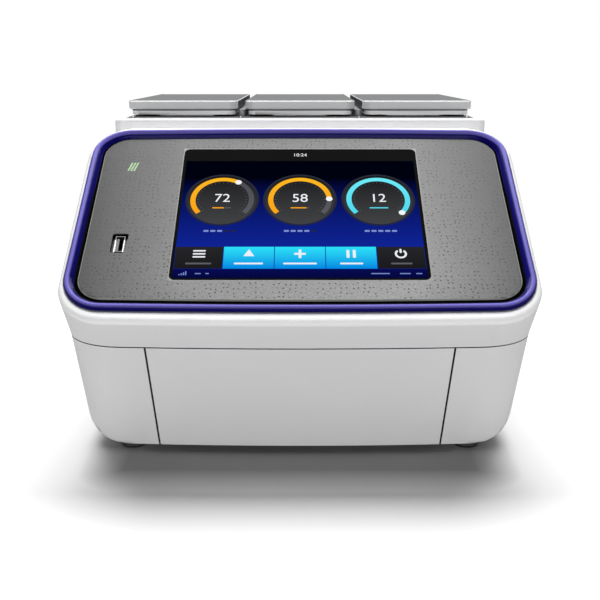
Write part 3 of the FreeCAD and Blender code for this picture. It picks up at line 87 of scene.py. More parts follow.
def surfacePlace(made, stretch=(1, 1, 1)):
    coords = addNode(made, "TexCoord")
    mapping = addNode(made, "Mapping", {"Scale": stretch})
    join(made, coords.outputs["Object"], mapping.inputs["Vector"])
    return mapping.outputs["Vector"]


def noise(made, place, scale, detail=2.0, roughness=0.5):
    node = addNode(made, "TexNoise", {"Scale": scale, "Detail": detail, "Roughness": roughness})
    join(made, place, node.inputs["Vector"])
    return node.outputs["Fac"]


def spread(made, value, low, high, fromLow=0.3, fromHigh=0.7):
    node = addNode(made, "MapRange", {"From Min": fromLow, "From Max": fromHigh, "To Min": low, "To Max": high})
    join(made, value, node.inputs["Value"])
    return node.outputs["Result"]


def blendColours(made, value, first, second):
    node = addNode(made, "Mix", data_type="RGBA")
    node.inputs["A"].default_value = (*first, 1)
    node.inputs["B"].default_value = (*second, 1)
    join(made, value, node.inputs["Factor"])
    return node.outputs["Result"]


def overlay(made, share, under, colour):
    # one colour over another, as far as the share says
    node = addNode(made, "Mix", data_type="RGBA")
    node.inputs["B"].default_value = (*colour, 1)
    join(made, under, node.inputs["A"])
    join(made, share, node.inputs["Factor"])
    return node.outputs["Result"]


def scaleColour(made, colour, amount):
    node = addNode(made, "VectorMath", operation="SCALE")
    join(made, colour, node.inputs[0])
    join(made, amount, node.inputs["Scale"])
    return node.outputs["Vector"]


def bump(made, shader, height, distance, strength):
    node = addNode(made, "Bump", {"Distance": distance, "Strength": strength})
    join(made, height, node.inputs["Height"])
    join(made, node.outputs["Normal"], shader.inputs["Normal"])


def linear(*levels):
    # display levels from 0 to 255 as the shader's own light values
    values = [level / 255 for level in levels]
    return tuple(value / 12.92 if value <= 0.04045 else ((value + 0.055) / 1.055) ** 2.4 for value in values)


def maths(made, operation, first, second=None, third=None):
    node = addNode(made, "Math", operation=operation)
    for socket, value in zip(node.inputs, (first, second, third)):
        if isinstance(value, bpy.types.NodeSocket):
            join(made, value, socket)
        elif value is not None:
            socket.default_value = value
    return node.outputs["Value"]


def within(made, value, low, high):
    return maths(made, "COMPARE", value, (low + high) / 2, (high - low) / 2)


def everyOne(made, first, *others):
    for other in others:
        first = maths(made, "MULTIPLY", first, other)
    return first


def farOut(made, values, halves):
    # how far a place lies outside a rectangle about the middle, and 0 inside it
    beyond = [maths(made, "MAXIMUM", maths(made, "SUBTRACT", maths(made, "ABSOLUTE", value), half), 0)
              for value, half in zip(values, halves)]
    return maths(made, "SQRT", maths(made, "ADD", *[maths(made, "MULTIPLY", value, value) for value in beyond]))


def placeParts(made):
    # X, Y and Z of a place on the object
    coords = addNode(made, "TexCoord")
    parts = addNode(made, "SeparateXYZ")
    join(made, coords.outputs["Object"], parts.inputs["Vector"])
    return parts.outputs


def consolePlace(made):
    # a place in the console's own frame, and its X, Y and Z
    coords = addNode(made, "TexCoord")
    shift = addNode(made, "VectorMath", {1: tuple(onGlass.translation)}, operation="SUBTRACT")
    join(made, coords.outputs["Object"], shift.inputs[0])
    flat = addNode(made, "Mapping", {"Rotation": (-math.radians(console["tilt"]), 0, 0)})
    join(made, shift.outputs["Vector"], flat.inputs["Vector"])
    parts = addNode(made, "SeparateXYZ")
    join(made, flat.outputs["Vector"], parts.inputs["Vector"])
    return flat.outputs["Vector"], parts.outputs


# Marks: the shares of a surface where its finish takes another colour

marks = {"seamOver": 0.15 * mm, "coverOver": 0.1 * mm, "coverGap": 1.2 * mm, "lidShadeDeep": 0.4 * mm,
         "lidShadeSide": 7.5 * mm, "lidShadeEnd": 2 * mm, "topDeep": 0.12 * mm, "edgeDeep": 1.1 * mm, "edgeReach": 3 * mm,
         "gapOver": 0.15 * mm, "lipRise": (-5 * mm, -3.4 * mm), "lipReach": (-84 * mm, -58 * mm), "footShare": 0.7,
         "footRise": (8 * mm, 84 * mm), "undersideBelow": 0.1 * mm, "shadeUnder": 1.1 * mm}


def levelSeamShade(made):
    # painted shade in the line round the housing, between its upper and lower halves
    z = placeParts(made)[2]
    return within(made, z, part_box("lower_housing")[1][2] - marks["seamOver"],
                  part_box("upper_housing")[0][2] + marks["seamOver"])


def coverSeamShade(made):
    # painted shade in the two gaps beside the front cover
    x, y, z = placeParts(made)
    right, back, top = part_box("front_cover")[1]
    across = within(made, maths(made, "ABSOLUTE", x), right - marks["coverOver"], right + marks["coverGap"])
    return everyOne(made, across, maths(made, "LESS_THAN", y, back), maths(made, "LESS_THAN", z, top))


def lidShadeOnDeck(made):
    # painted shade on the deck under the lids, where they close
    x, y, z = placeParts(made)
    low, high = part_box("module_cover")
    top = maths(made, "GREATER_THAN", z, high[2] - marks["lidShadeDeep"])
    across = maths(made, "LESS_THAN", maths(made, "ABSOLUTE", x), high[0] - marks["lidShadeSide"])
    along = within(made, y, low[1] + marks["lidShadeEnd"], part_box("lid_hinge_brackets")[1][1] + marks["lidShadeEnd"])
    return everyOne(made, top, across, along)


def leverTopShade(made):
    # painted shade: the top of a lever is painted darker than its front
    return maths(made, "GREATER_THAN", placeParts(made)[2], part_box("lid_lever_1")[1][2] - marks["topDeep"])


def leverEdgeHighlight(made):
    # a painted highlight along the front edge of a lever's top
    x, y, z = placeParts(made)
    low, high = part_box("lid_lever_1")
    return everyOne(made, within(made, z, high[2] - marks["edgeDeep"], high[2] - marks["topDeep"]),
                    maths(made, "LESS_THAN", y, low[1] + marks["edgeReach"]))


def leverGaps(made):
    # the shaded sides where two levers face each other
    first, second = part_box("lid_lever_1")[1][0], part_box("lid_lever_2")[0][0]
    return within(made, maths(made, "ABSOLUTE", placeParts(made)[0]), -second - marks["gapOver"],
                  -first + marks["gapOver"])


def frameTop(made):
    # the shade between a lid and its lever
    return maths(made, "GREATER_THAN", placeParts(made)[2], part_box("lid_lever_1")[0][2] - marks["shadeUnder"])


def nearLipLight(made):
    # painted light: the lip along the near side of the console is painted whiter
    x, y, z = consolePlace(made)[1]
    return everyOne(made, spread(made, z, 0, 1, *marks["lipRise"]), spread(made, y, 1, 0, *marks["lipReach"]))


def paintedFootLight(made):
    # painted light: the front is painted paler towards the floor, so that it keeps its brightness there
    return spread(made, placeParts(made)[2], marks["footShare"], 0, *marks["footRise"])


def undersideShade(made):
    # painted shade: the underside below the front cover, where the feet stand, is painted dark
    return maths(made, "LESS_THAN", placeParts(made)[2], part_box("front_cover")[0][2] - marks["undersideBelow"])


print("stage 1: finishes")

grainy = {"stretch": (1, 1, 1), "cloud": 18, "grain": 1400, "depth": 0.03 * mm, "strength": 0.5, "shader": {},
          "marks": {}}
plastic = {"gloss": (0.4, 0.52), "grain": 2200, "depth": 0.02 * mm, "strength": 0.35,
           "shader": {"Specular IOR Level": 0.4}}
paint = {"gloss": (0.34, 0.46), "grain": 3000, "depth": 0.01 * mm, "strength": 0.3}
metal = {"shader": {"Metallic": 1.0}}
# painted shade for the seam round the housing
seamShadeColour = (96, 97, 99)
finishes = {
    "white plastic": {**plastic, "dark": (220, 220, 221), "light": (225, 225, 226),
                      "marks": {nearLipLight: (246, 246, 247), levelSeamShade: seamShadeColour}},
    # painted light: the deck's white plastic is painted paler than the housing's
    "deck plastic": {**plastic, "dark": (235, 235, 235), "light": (240, 240, 240), "marks": {lidShadeOnDeck: (78, 78, 80)}},
    "lower plastic": {**plastic, "dark": (222, 222, 223), "light": (227, 227, 228), "gloss": (0.42, 0.55),
                      "marks": {paintedFootLight: (246, 246, 247), levelSeamShade: seamShadeColour, coverSeamShade: (16, 16, 18),
                                undersideShade: (68, 68, 70)}},
    "silver paint": {**paint, "dark": (132, 134, 137), "light": (146, 148, 151), "gloss": (0.3, 0.42),
                     "shader": {"Metallic": 0.3}},
    "lever paint": {**paint, "dark": (208, 209, 210), "light": (216, 217, 218),
                    "marks": {leverGaps: (56, 56, 58), leverTopShade: (86, 87, 88), leverEdgeHighlight: (252, 252, 252)}},
    "light silver": {**paint, "dark": (246, 247, 248), "light": (250, 251, 252), "marks": {frameTop: (70, 70, 72)}},
    "cast aluminium": {**metal, "dark": (176, 178, 181), "light": (201, 203, 206), "gloss": (0.28, 0.45),
                       "grain": 1800, "depth": 0.02 * mm},
    "steel": {**metal, "dark": (150, 151, 154), "light": (186, 188, 191), "gloss": (0.18, 0.34), "grain": 900,
              "stretch": (1, 0.1, 1), "depth": 0.01 * mm},
    "sheet metal": {**metal, "dark": (152, 155, 158), "light": (184, 187, 189), "gloss": (0.34, 0.5), "grain": 800,
                    "stretch": (1, 0.05, 1), "depth": 0.01 * mm},
    "black plastic": {"dark": (22, 22, 24), "light": (34, 34, 36), "gloss": (0.4, 0.58), "grain": 1600,
                      "depth": 0.04 * mm},
    "grey plastic": {"dark": (70, 71, 74), "light": (84, 85, 88), "gloss": (0.42, 0.6), "grain": 1600,
                     "depth": 0.04 * mm},
    "rubber": {"dark": (26, 26, 27), "light": (42, 42, 43), "gloss": (0.7, 0.9), "grain": 900, "depth": 0.08 * mm},
    "ceramic": {"dark": (214, 213, 206), "light": (232, 231, 225), "gloss": (0.4, 0.6), "grain": 1200},
}


def grainyFinish(name, settings):
    # two close shades drift over the surface, and a fine grain breaks up the gloss
    look = {**grainy, **settings}
    made, shader = newFinish(name, look["shader"])
    place = surfacePlace(made, look["stretch"])
    cloud = noise(made, place, look["cloud"], detail=3)
    grain = noise(made, place, look["grain"], roughness=0.6)
    colour = blendColours(made, cloud, linear(*look["dark"]), linear(*look["light"]))
    for share, shade in look["marks"].items():
        colour = overlay(made, share(made), colour, linear(*shade))
    join(made, colour, shader.inputs["Base Color"])
    join(made, spread(made, grain, *look["gloss"]), shader.inputs["Roughness"])
    bump(made, shader, grain, look["depth"], look["strength"])
    return made


def blueGloss():
    # deep blue lacquer with a painted highlight along the crest of the band; the channel round the fascia, below the
    # glass, and the foot of the band's inner slope are painted black as painted shade
    look = {"shader": {"Specular IOR Level": 0.07, "Specular Tint": (0.72, 0.7, 1, 1)}, "cloud": 9,
            "deep": (9, 5, 80), "bright": (16, 11, 96), "crownHighlight": (102, 95, 174), "highlightRise": (1.75 * mm, 2.5 * mm),
            "farLift": 0.8 * mm, "farReach": (50 * mm, 78 * mm), "channel": (6, 6, 8), "half": (152 * mm, 88 * mm),
            "corner": 27 * mm, "middle": -2.3 * mm, "bow": 2.26, "innerFrom": 3.4 * mm,
            "nearBlack": (1.7 * mm, 0.1 * mm), "nearReach": (-86 * mm, -68 * mm), "farFall": 1.7 * mm,
            "fallReach": (10 * mm, 74 * mm), "grain": 500, "gloss": (0.16, 0.24), "ripple": 60, "depth": 0.04 * mm,
            "strength": 0.25}
    made, shader = newFinish("blue gloss", look["shader"])
    place, (x, y, z) = consolePlace(made)
    cloud = blendColours(made, noise(made, place, look["cloud"]), linear(*look["deep"]), linear(*look["bright"]))
    # a painted highlight along the crest, reaching lower on the far side
    raised = maths(made, "ADD", z, spread(made, y, 0, look["farLift"], *look["farReach"]))
    lacquer = overlay(made, spread(made, raised, 0, 1, *look["highlightRise"]), cloud, linear(*look["crownHighlight"]))
    # how far in from the bowed outline of the ring a place is, and how high the painted shade reaches there
    swell = maths(made, "MULTIPLY_ADD", maths(made, "MULTIPLY", x, x), look["bow"], 1)
    upright = maths(made, "MULTIPLY", maths(made, "SUBTRACT", y, look["middle"]), swell)
    reach = farOut(made, (x, upright), [half - look["corner"] for half in look["half"]])
    inner = maths(made, "LESS_THAN", reach, look["corner"] - look["innerFrom"])
    depth = maths(made, "SUBTRACT", spread(made, y, *look["nearBlack"], *look["nearReach"]),
                  spread(made, y, 0, look["farFall"], *look["fallReach"]))
    sunkShade = maths(made, "MULTIPLY", inner, maths(made, "LESS_THAN", z, depth))
    join(made, overlay(made, sunkShade, lacquer, linear(*look["channel"])), shader.inputs["Base Color"])
    join(made, spread(made, noise(made, place, look["grain"]), *look["gloss"]), shader.inputs["Roughness"])
    bump(made, shader, noise(made, place, look["ripple"]), look["depth"], look["strength"])
    return made


def fasciaPaint():
    # grey metallic paint over a fine field of moulded dots
    look = {"near": (112, 113, 112), "far": (60, 61, 60), "farReach": (76 * mm, 144 * mm), "across": (0.66, 1.04),
            "acrossReach": (-140 * mm, 140 * mm), "up": (1.6, 0.86), "upReach": (-80 * mm, 76 * mm), "speck": 620,
            "speckle": (0.78, 1.22), "dot": (42, 43, 43), "pitch": 3.6 * mm, "stray": 0.5, "dotFade": (0.1, 0.2),
            "patch": 120, "patchFade": (0.42, 0.55), "edge": (136, 138, 133), "edgeBelow": -0.15 * mm,
            "wall": (7, 7, 8), "wallBelow": -0.9 * mm, "rim": (136, 137, 134), "rimHalf": (85.2 * mm, 64.6 * mm),
            "gloss": (0.4, 0.55), "depth": 0.1 * mm, "strength": 0.5}
    made, shader = newFinish("fascia paint", {"Specular IOR Level": 0.15})
    place, (x, y, z) = consolePlace(made)
    # painted light and shade: the paint is darker towards the outer ends and the left, and paler towards the bottom
    outwards = spread(made, maths(made, "ABSOLUTE", x), 0, 1, *look["farReach"])
    base = blendColours(made, outwards, linear(*look["near"]), linear(*look["far"]))
    speck = noise(made, place, look["speck"], detail=3, roughness=0.7)
    drift = maths(made, "MULTIPLY", spread(made, x, *look["across"], *look["acrossReach"]),
                  spread(made, y, *look["up"], *look["upReach"]))
    shadedMottle = scaleColour(made, base, maths(made, "MULTIPLY", drift, spread(made, speck, *look["speckle"])))
    dots = addNode(made, "TexVoronoi", {"Scale": 1 / look["pitch"], "Randomness": look["stray"]},
                   voronoi_dimensions="2D")
    join(made, place, dots.inputs["Vector"])
    patch = spread(made, noise(made, place, look["patch"]), 0, 1, *look["patchFade"])
    shown = maths(made, "MULTIPLY", spread(made, dots.outputs["Distance"], 1, 0, *look["dotFade"]), patch)
    dotted = overlay(made, shown, shadedMottle, linear(*look["dot"]))
    # a painted highlight on the chamfer round the fascia
    edgeHighlighted = overlay(made, maths(made, "LESS_THAN", z, look["edgeBelow"]), dotted, linear(*look["edge"]))
    # a bright line where the paint ends at the glass
    rim = everyOne(made, *[maths(made, "LESS_THAN", maths(made, "ABSOLUTE", value), half)
                           for value, half in zip((x, y), look["rimHalf"])])
    rimmed = overlay(made, rim, edgeHighlighted, linear(*look["rim"]))
    # painted shade: the fascia's sides, down in the channel round it, are painted black
    wall = maths(made, "LESS_THAN", z, look["wallBelow"])
    join(made, overlay(made, wall, rimmed, linear(*look["wall"])), shader.inputs["Base Color"])
    join(made, spread(made, speck, *look["gloss"]), shader.inputs["Roughness"])
    bump(made, shader, maths(made, "SUBTRACT", speck, shown), look["depth"], look["strength"])
    return made


def blackGlass():
    look = {"dark": (9, 9, 9), "light": (12, 12, 12), "cloud": 30, "grain": 260, "gloss": (0.1, 0.16)}
    made, shader = newFinish("black glass", {"Specular IOR Level": 0.002})
    place = surfacePlace(made)
    shade = blendColours(made, noise(made, place, look["cloud"]), linear(*look["dark"]), linear(*look["light"]))
    join(made, shade, shader.inputs["Base Color"])
    join(made, spread(made, noise(made, place, look["grain"]), *look["gloss"]), shader.inputs["Roughness"])
    return made


def boardGreen():
    # solder mask with copper runs showing through it
    look = {"colours": {"Color1": (20, 92, 52), "Color2": (24, 104, 58), "Mortar": (64, 140, 84)},
            "runs": {"Scale": 90, "Mortar Size": 0.03, "Brick Width": 0.9, "Row Height": 0.18},
            "grain": 300, "gloss": (0.3, 0.45), "depth": 0.05 * mm, "strength": 0.5}
    made, shader = newFinish("circuit board", {"Specular IOR Level": 0.5})
    place = surfacePlace(made)
    runs = addNode(made, "TexBrick", look["runs"])
    for socket, colour in look["colours"].items():
        runs.inputs[socket].default_value = (*linear(*colour), 1)
    join(made, place, runs.inputs["Vector"])
    join(made, runs.outputs["Color"], shader.inputs["Base Color"])
    join(made, spread(made, noise(made, place, look["grain"]), *look["gloss"]), shader.inputs["Roughness"])
    bump(made, shader, runs.outputs["Fac"], look["depth"], look["strength"])
    return made


def greenLamp():
    look = {"edge": (46, 96, 20), "middle": (78, 136, 36), "grain": 700, "power": 0.18, "roughness": 0.3}
    made, shader = newFinish("green lamp", {"Emission Strength": look["power"], "Roughness": look["roughness"]})
    grain = noise(made, surfacePlace(made), look["grain"])
    glow = blendColours(made, grain, linear(*look["edge"]), linear(*look["middle"]))
    join(made, glow, shader.inputs["Base Color"])
    join(made, glow, shader.inputs["Emission Color"])
    return made


def usbLook():
    # a black socket; its two steel sides are painted near white, a painted reflection on real steel
    look = {"dark": (14, 14, 15), "light": (26, 26, 28), "grain": 500, "roughness": 0.35, "steel": (236, 236, 238),
            "middle": -120.4 * mm, "sides": (2.45 * mm, 3.4 * mm), "upright": (-38.4 * mm, -27.6 * mm),
            "above": -4 * mm}
    made, shader = newFinish("usb socket", {"Roughness": look["roughness"]})
    place, (x, y, z) = consolePlace(made)
    offset = maths(made, "ABSOLUTE", maths(made, "SUBTRACT", x, look["middle"]))
    side = everyOne(made, within(made, offset, *look["sides"]), within(made, y, *look["upright"]),
                    maths(made, "GREATER_THAN", z, look["above"]))
    black = blendColours(made, noise(made, place, look["grain"]), linear(*look["dark"]), linear(*look["light"]))
    join(made, overlay(made, side, black, linear(*look["steel"])), shader.inputs["Base Color"])
    return made


finish = {name: grainyFinish(name, look) for name, look in finishes.items()}
finish["usb socket"] = usbLook()
finish["blue gloss"] = blueGloss()
finish["fascia paint"] = fasciaPaint()
finish["black glass"] = blackGlass()
finish["circuit board"] = boardGreen()
finish["green lamp"] = greenLamp()


# Small helpers for pieces

def finishPiece(name, bm, materials, body, sharp=35, stands=()):
    mesh = bpy.data.meshes.new(name)
    bm.to_mesh(mesh)
    bm.free()
    piece = bpy.data.objects.new(name, mesh)
    bpy.context.scene.collection.objects.link(piece)
    for material in materials:
        mesh.materials.append(material)
    mesh.shade_smooth()
    mesh.set_sharp_from_angle(angle=math.radians(sharp))
    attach(piece, body)
    if stands:
        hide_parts(*stands)
    return piece


def evenShading(piece):
    tidy = piece.modifiers.new("even shading", "WEIGHTED_NORMAL")
    tidy.keep_sharp = True
    tidy.mode = "FACE_AREA_WITH_ANGLE"


def bodyOf(nodeName):
    for body, members in frame["record"]["behaviour"]["bodies"].items():
        if nodeName in members:
            return body


shell = {"weld": 0.002 * mm, "sharp": 30}


def dressShell(nodeName, material):
    # a joined copy of the moulded solid, so that light runs smoothly over its rounds
    bm = bmesh.new()
    bm.from_mesh(frame["nodes"][nodeName].data)
    bmesh.ops.remove_doubles(bm, verts=bm.verts, dist=shell["weld"])
    evenShading(finishPiece(nodeName + "_skin", bm, [material], bodyOf(nodeName), shell["sharp"],
                            [nodeName]))


def paintNodes(material, *names):
    for name in names:
        data = frame["nodes"][name].data
        data.materials.clear()
        data.materials.append(material)


print("stage 2: shells")

dressShell("upper_housing", finish["white plastic"])
dressShell("module_cover", finish["deck plastic"])
for name in ("lower_housing", "front_cover"):
    dressShell(name, finish["lower plastic"])
dressShell("control_ring", finish["blue gloss"])
dressShell("control_fascia", finish["fascia paint"])
for i in (1, 2, 3):
    dressShell(f"lid_lever_{i}", finish["lever paint"])
    dressShell(f"lid_frame_{i}", finish["light silver"])
    dressShell(f"fan_rotor_{i}", finish["black plastic"])
    dressShell(f"sample_block_{i}", finish["cast aluminium"])
dressShell("lid_dividers", finish["silver paint"])
dressShell("lid_hinge_brackets", finish["steel"])
dressShell("module_handle", finish["grey plastic"])
dressShell("rubber_feet", finish["rubber"])

paintNodes(finish["black glass"], "touch_glass")
paintNodes(finish["black plastic"], "display_panel", "mains_inlet", "fuse_drawer", "switch_housing", "power_rocker",
           "bay_rails", "dock_socket", "dock_plug", "fan_frames", "block_frame_1", "block_frame_2", "block_frame_3")
paintNodes(finish["circuit board"], "display_board", "main_board", "module_board")
paintNodes(finish["steel"], "housing_screws", "network_port", "rear_usb_ports", "lid_hinge_pins",
           "module_screws", "lever_pin_1", "lever_pin_2", "lever_pin_3")
paintNodes(finish["usb socket"], "front_usb_port")
paintNodes(finish["green lamp"], "status_light")
paintNodes(finish["sheet metal"], "rear_panel", "power_supply", "bay_tray", "module_chassis")
paintNodes(finish["grey plastic"], "module_grille")
paintNodes(finish["cast aluminium"], "heat_sink_1", "heat_sink_2", "heat_sink_3", "heated_plate_1", "heated_plate_2",
           "heated_plate_3")
paintNodes(finish["ceramic"], "cooling_elements")

print("stage 3: the screen's picture")

screen = {"width": 164.6 * mm, "low": -62.4 * mm, "high": 50.6 * mm, "strip": 7.8 * mm, "layer": 0.02 * mm,
          "pixels": 3000, "flicker": (0.94, 1.04), "grain": 260, "gloss": (0.14, 0.2), "cornerSteps": 5,
          "figureSteps": 5}
lit = {  # what glows: its colour at its lower and at its upper edge, and where those are on the screen, in mm
    "field": {"low": (17, 38, 158), "high": (1, 2, 16), "from": -46, "to": 32},
    "strip": {"low": (5, 8, 62), "high": (8, 12, 84), "from": -62, "to": -54},
    "key": {"low": (0, 132, 226), "high": (44, 226, 250), "from": -54.4, "to": -34.9},
    "dark key": {"low": (26, 26, 29), "high": (38, 38, 41), "from": -54.4, "to": -34.9},
    "dial": {"low": (64, 65, 67), "high": (26, 26, 29), "from": -12, "to": 33},
    "dial rim": {"low": (34, 37, 66), "high": (44, 46, 56), "from": -15, "to": 36},
    "unlit": {"low": (92, 94, 100), "high": (74, 76, 82), "from": -12, "to": 33},
    "amber": {"low": (252, 160, 14), "high": (255, 186, 36), "from": -12, "to": 33},
    "cyan": {"low": (70, 214, 236), "high": (112, 236, 250), "from": -12, "to": 33},
    "white": {"low": (236, 240, 246), "high": (250, 252, 255), "from": -60, "to": 60},
    "pale blue": {"low": (118, 138, 205), "high": (150, 166, 220), "from": -60, "to": 60},
}
litOrder = list(lit)


def litFinish(name, look):
    # behind the glass: the colour runs up the screen over a faint grain of pixels
    made, shader = newFinish("lit " + name, {"Base Color": (0, 0, 0, 1), "Specular IOR Level": 0,
                                             "Emission Strength": 1.0})
    place, (x, y, z) = consolePlace(made)
    up = spread(made, y, 0, 1, look["from"] * mm, look["to"] * mm)
    colour = blendColours(made, up, linear(*look["low"]), linear(*look["high"]))
    pixels = spread(made, noise(made, place, screen["pixels"], detail=1), *screen["flicker"])
    join(made, scaleColour(made, colour, pixels), shader.inputs["Emission Color"])
    join(made, spread(made, noise(made, place, screen["grain"]), *screen["gloss"]), shader.inputs["Roughness"])
    return made


litFinishes = [litFinish(name, look) for name, look in lit.items()]


def settle(bm, known, at, layer, glow):
    # faces the newest shape outwards and moves it to its place and layer on the glass
    bm.normal_update()
    verts = [vert for vert in bm.verts if vert not in known]
    faces = list({face for vert in verts for face in vert.link_faces})
    bmesh.ops.reverse_faces(bm, faces=[face for face in faces if face.normal.z < 0])
    for face in faces:
        face.material_index = litOrder.index(glow)
    place = Matrix.Translation((at[0], at[1], screen["layer"] * layer))
    bmesh.ops.transform(bm, matrix=onGlass @ place, verts=verts)


def addPatch(bm, size, at, layer, glow, corner=0):
    known = set(bm.verts)
    made = bmesh.ops.create_grid(bm, x_segments=1, y_segments=1, size=0.5)
    bmesh.ops.scale(bm, vec=(size[0], size[1], 1), verts=made["verts"])
    if corner:
        bmesh.ops.bevel(bm, geom=made["verts"], offset=corner, affect="VERTICES",
                        segments=screen["cornerSteps"], profile=0.5, material=-1)
    settle(bm, known, at, layer, glow)


def addDisc(bm, radius, at, layer, glow, sides):
    known = set(bm.verts)
    bmesh.ops.create_circle(bm, cap_ends=True, segments=sides, radius=radius)
    settle(bm, known, at, layer, glow)


def addArc(bm, inner, outer, start, end, at, layer, glow, steps):
    # a flat band about the middle of a dial; its angles run clockwise from the top
    known = set(bm.verts)
    edge = bm.edges.new([bm.verts.new((0, reach, 0)) for reach in (inner, outer)])
    bmesh.ops.rotate(bm, verts=edge.verts, cent=(0, 0, 0), matrix=Matrix.Rotation(-start, 3, "Z"))
    bmesh.ops.spin(bm, geom=[*edge.verts, edge], cent=(0, 0, 0), axis=(0, 0, -1), angle=end - start, steps=steps)
    settle(bm, known, at, layer, glow)


def addFigures(bm, words, size, at, layer, glow):
    curve = bpy.data.curves.new("figures", "FONT")
    curve.body = words
    curve.size = size
    curve.align_x = "CENTER"
    curve.align_y = "CENTER"
    curve.resolution_u = screen["figureSteps"]
    holder = bpy.data.objects.new("figures", curve)
    mesh = bpy.data.meshes.new_from_object(holder)
    known = set(bm.verts)
    bm.from_mesh(mesh)
    settle(bm, known, at, layer, glow)
    bpy.data.objects.remove(holder)
    bpy.data.curves.remove(curve)
    bpy.data.meshes.remove(mesh)


def finishPicture(name, bm):
    finishPiece(name, bm, litFinishes, "base")


field = {"clock": "10:24", "clockUp": 57.2 * mm, "clockSize": 4.6 * mm, "footUp": 2.4 * mm, "bars": 4,
         "barWide": 0.8 * mm, "barTall": 0.9 * mm, "barRise": 0.8 * mm, "barsFrom": -78 * mm, "barPitch": 1.4 * mm,
         "dashes": ((-66, 4), (-60, 2.4), (52, 12), (68, 7), (77, 4)), "dashTall": 0.9 * mm, "dashUp": 1.4 * mm,
         "dashCorner": 0.4 * mm}


def makeField():
    bm = bmesh.new()
    low, high = screen["low"], screen["high"]
    addPatch(bm, (screen["width"], high - low), (0, (high + low) / 2), 1, "field")
    addPatch(bm, (screen["width"], screen["strip"]), (0, low + screen["strip"] / 2), 2, "strip")
    addFigures(bm, field["clock"], field["clockSize"], (0, field["clockUp"]), 2, "white")
    # signal bars and a few short marks in the bottom strip
    foot = low + field["footUp"]
    for i in range(field["bars"]):
        tall = field["barTall"] + field["barRise"] * i
        at = (field["barsFrom"] + field["barPitch"] * i, foot + tall / 2)
        addPatch(bm, (field["barWide"], tall), at, 3, "pale blue")
    for x, long in field["dashes"]:
        addPatch(bm, (long * mm, field["dashTall"]), (x * mm, foot + field["dashUp"]), 3, "pale blue",
                 field["dashCorner"])
    finishPicture("screen_field", bm)


gauge = {"up": 10.4 * mm, "rim": 25.7 * mm, "face": 24.3 * mm, "sides": 96, "inner": 18.6 * mm, "outer": 22.2 * mm,
         "sweep": 130, "litSteps": 72, "unlitSteps": 36, "tickIn": 16.2 * mm, "tickOut": 17.4 * mm, "ticks": 27,
         "tickHalf": 0.012, "knob": 2.3 * mm, "knobSides": 32, "figure": 11.5 * mm, "figureUp": 1 * mm,
         "barWide": 13 * mm, "barTall": 1.1 * mm, "barDown": 8.4 * mm, "barCorner": 0.5 * mm, "dots": 5,
         "dotSize": (3.4 * mm, 1.7 * mm), "dotPitch": 4.6 * mm, "dotUp": -20.2 * mm, "dotCorner": 0.4 * mm}
gauges = [{"x": -54.2 * mm, "number": "72", "share": 0.62, "glow": "amber", "done": 3},
          {"x": 0, "number": "58", "share": 0.84, "glow": "amber", "done": 4},
          {"x": 54.5 * mm, "number": "12", "share": 1, "glow": "cyan", "done": 5}]


def makeGauge(number, look):
    bm = bmesh.new()
    x, y = at = (look["x"], gauge["up"])
    band = (gauge["inner"], gauge["outer"])
    start = -math.radians(gauge["sweep"])
    middle = start * (1 - 2 * look["share"])
    addDisc(bm, gauge["rim"], at, 2, "dial rim", gauge["sides"])
    addDisc(bm, gauge["face"], at, 3, "dial", gauge["sides"])
    if look["share"] < 1:
        addArc(bm, *band, middle, -start, at, 4, "unlit", gauge["unlitSteps"])
    addArc(bm, *band, start, middle, at, 5, look["glow"], gauge["litSteps"])
    for i in range(gauge["ticks"]):
        angle = start - 2 * start * i / (gauge["ticks"] - 1)
        addArc(bm, gauge["tickIn"], gauge["tickOut"], angle - gauge["tickHalf"], angle + gauge["tickHalf"], at, 4,
               "unlit", steps=1)
    reach = sum(band) / 2
    addDisc(bm, gauge["knob"], (x + reach * math.sin(middle), y + reach * math.cos(middle)), 6, "white",
            gauge["knobSides"])
    addFigures(bm, look["number"], gauge["figure"], (x, y + gauge["figureUp"]), 5, "white")
    # a bar under the number, lit as far as the dial is
    wide, tall = gauge["barWide"], gauge["barTall"]
    down = y - gauge["barDown"]
    addPatch(bm, (wide, tall), (x, down), 5, "unlit", gauge["barCorner"])
    addPatch(bm, (wide * look["share"], tall), (x - wide / 2 * (1 - look["share"]), down), 6, look["glow"],
             gauge["barCorner"])
    # small steps under the dial, those done filled in
    for i in range(gauge["dots"]):
        glow = "pale blue" if i < look["done"] else "dial rim"
        across = x + (i - (gauge["dots"] - 1) / 2) * gauge["dotPitch"]
        addPatch(bm, gauge["dotSize"], (across, gauge["dotUp"]), 2, glow, gauge["dotCorner"])
    finishPicture(f"screen_gauge_{number}", bm)


keys = {"low": -54.4 * mm, "high": -34.9 * mm, "middleWidth": 101 * mm, "gap": 0.5 * mm, "iconUp": 3.4 * mm,
        "lineDown": 5.2 * mm, "lineTall": 1.5 * mm, "lineCorner": 0.6 * mm, "sideLines": (17, 14),
        "middleLines": (19, 22, 15)}
icons = {"triangle": 4.2 * mm, "plusLong": 7.6 * mm, "plusThick": 1.8 * mm, "bar": (2 * mm, 7 * mm),
         "barOut": 2.1 * mm, "barCorner": 0.4 * mm, "stripe": (8.4 * mm, 1.3 * mm), "stripePitch": 2.7 * mm,
         "ring": (2.6 * mm, 4 * mm), "ringOpen": 0.6, "ringSteps": 36, "stem": (1.4 * mm, 3.6 * mm),
         "stemUp": 2.6 * mm, "corner": 0.5 * mm}


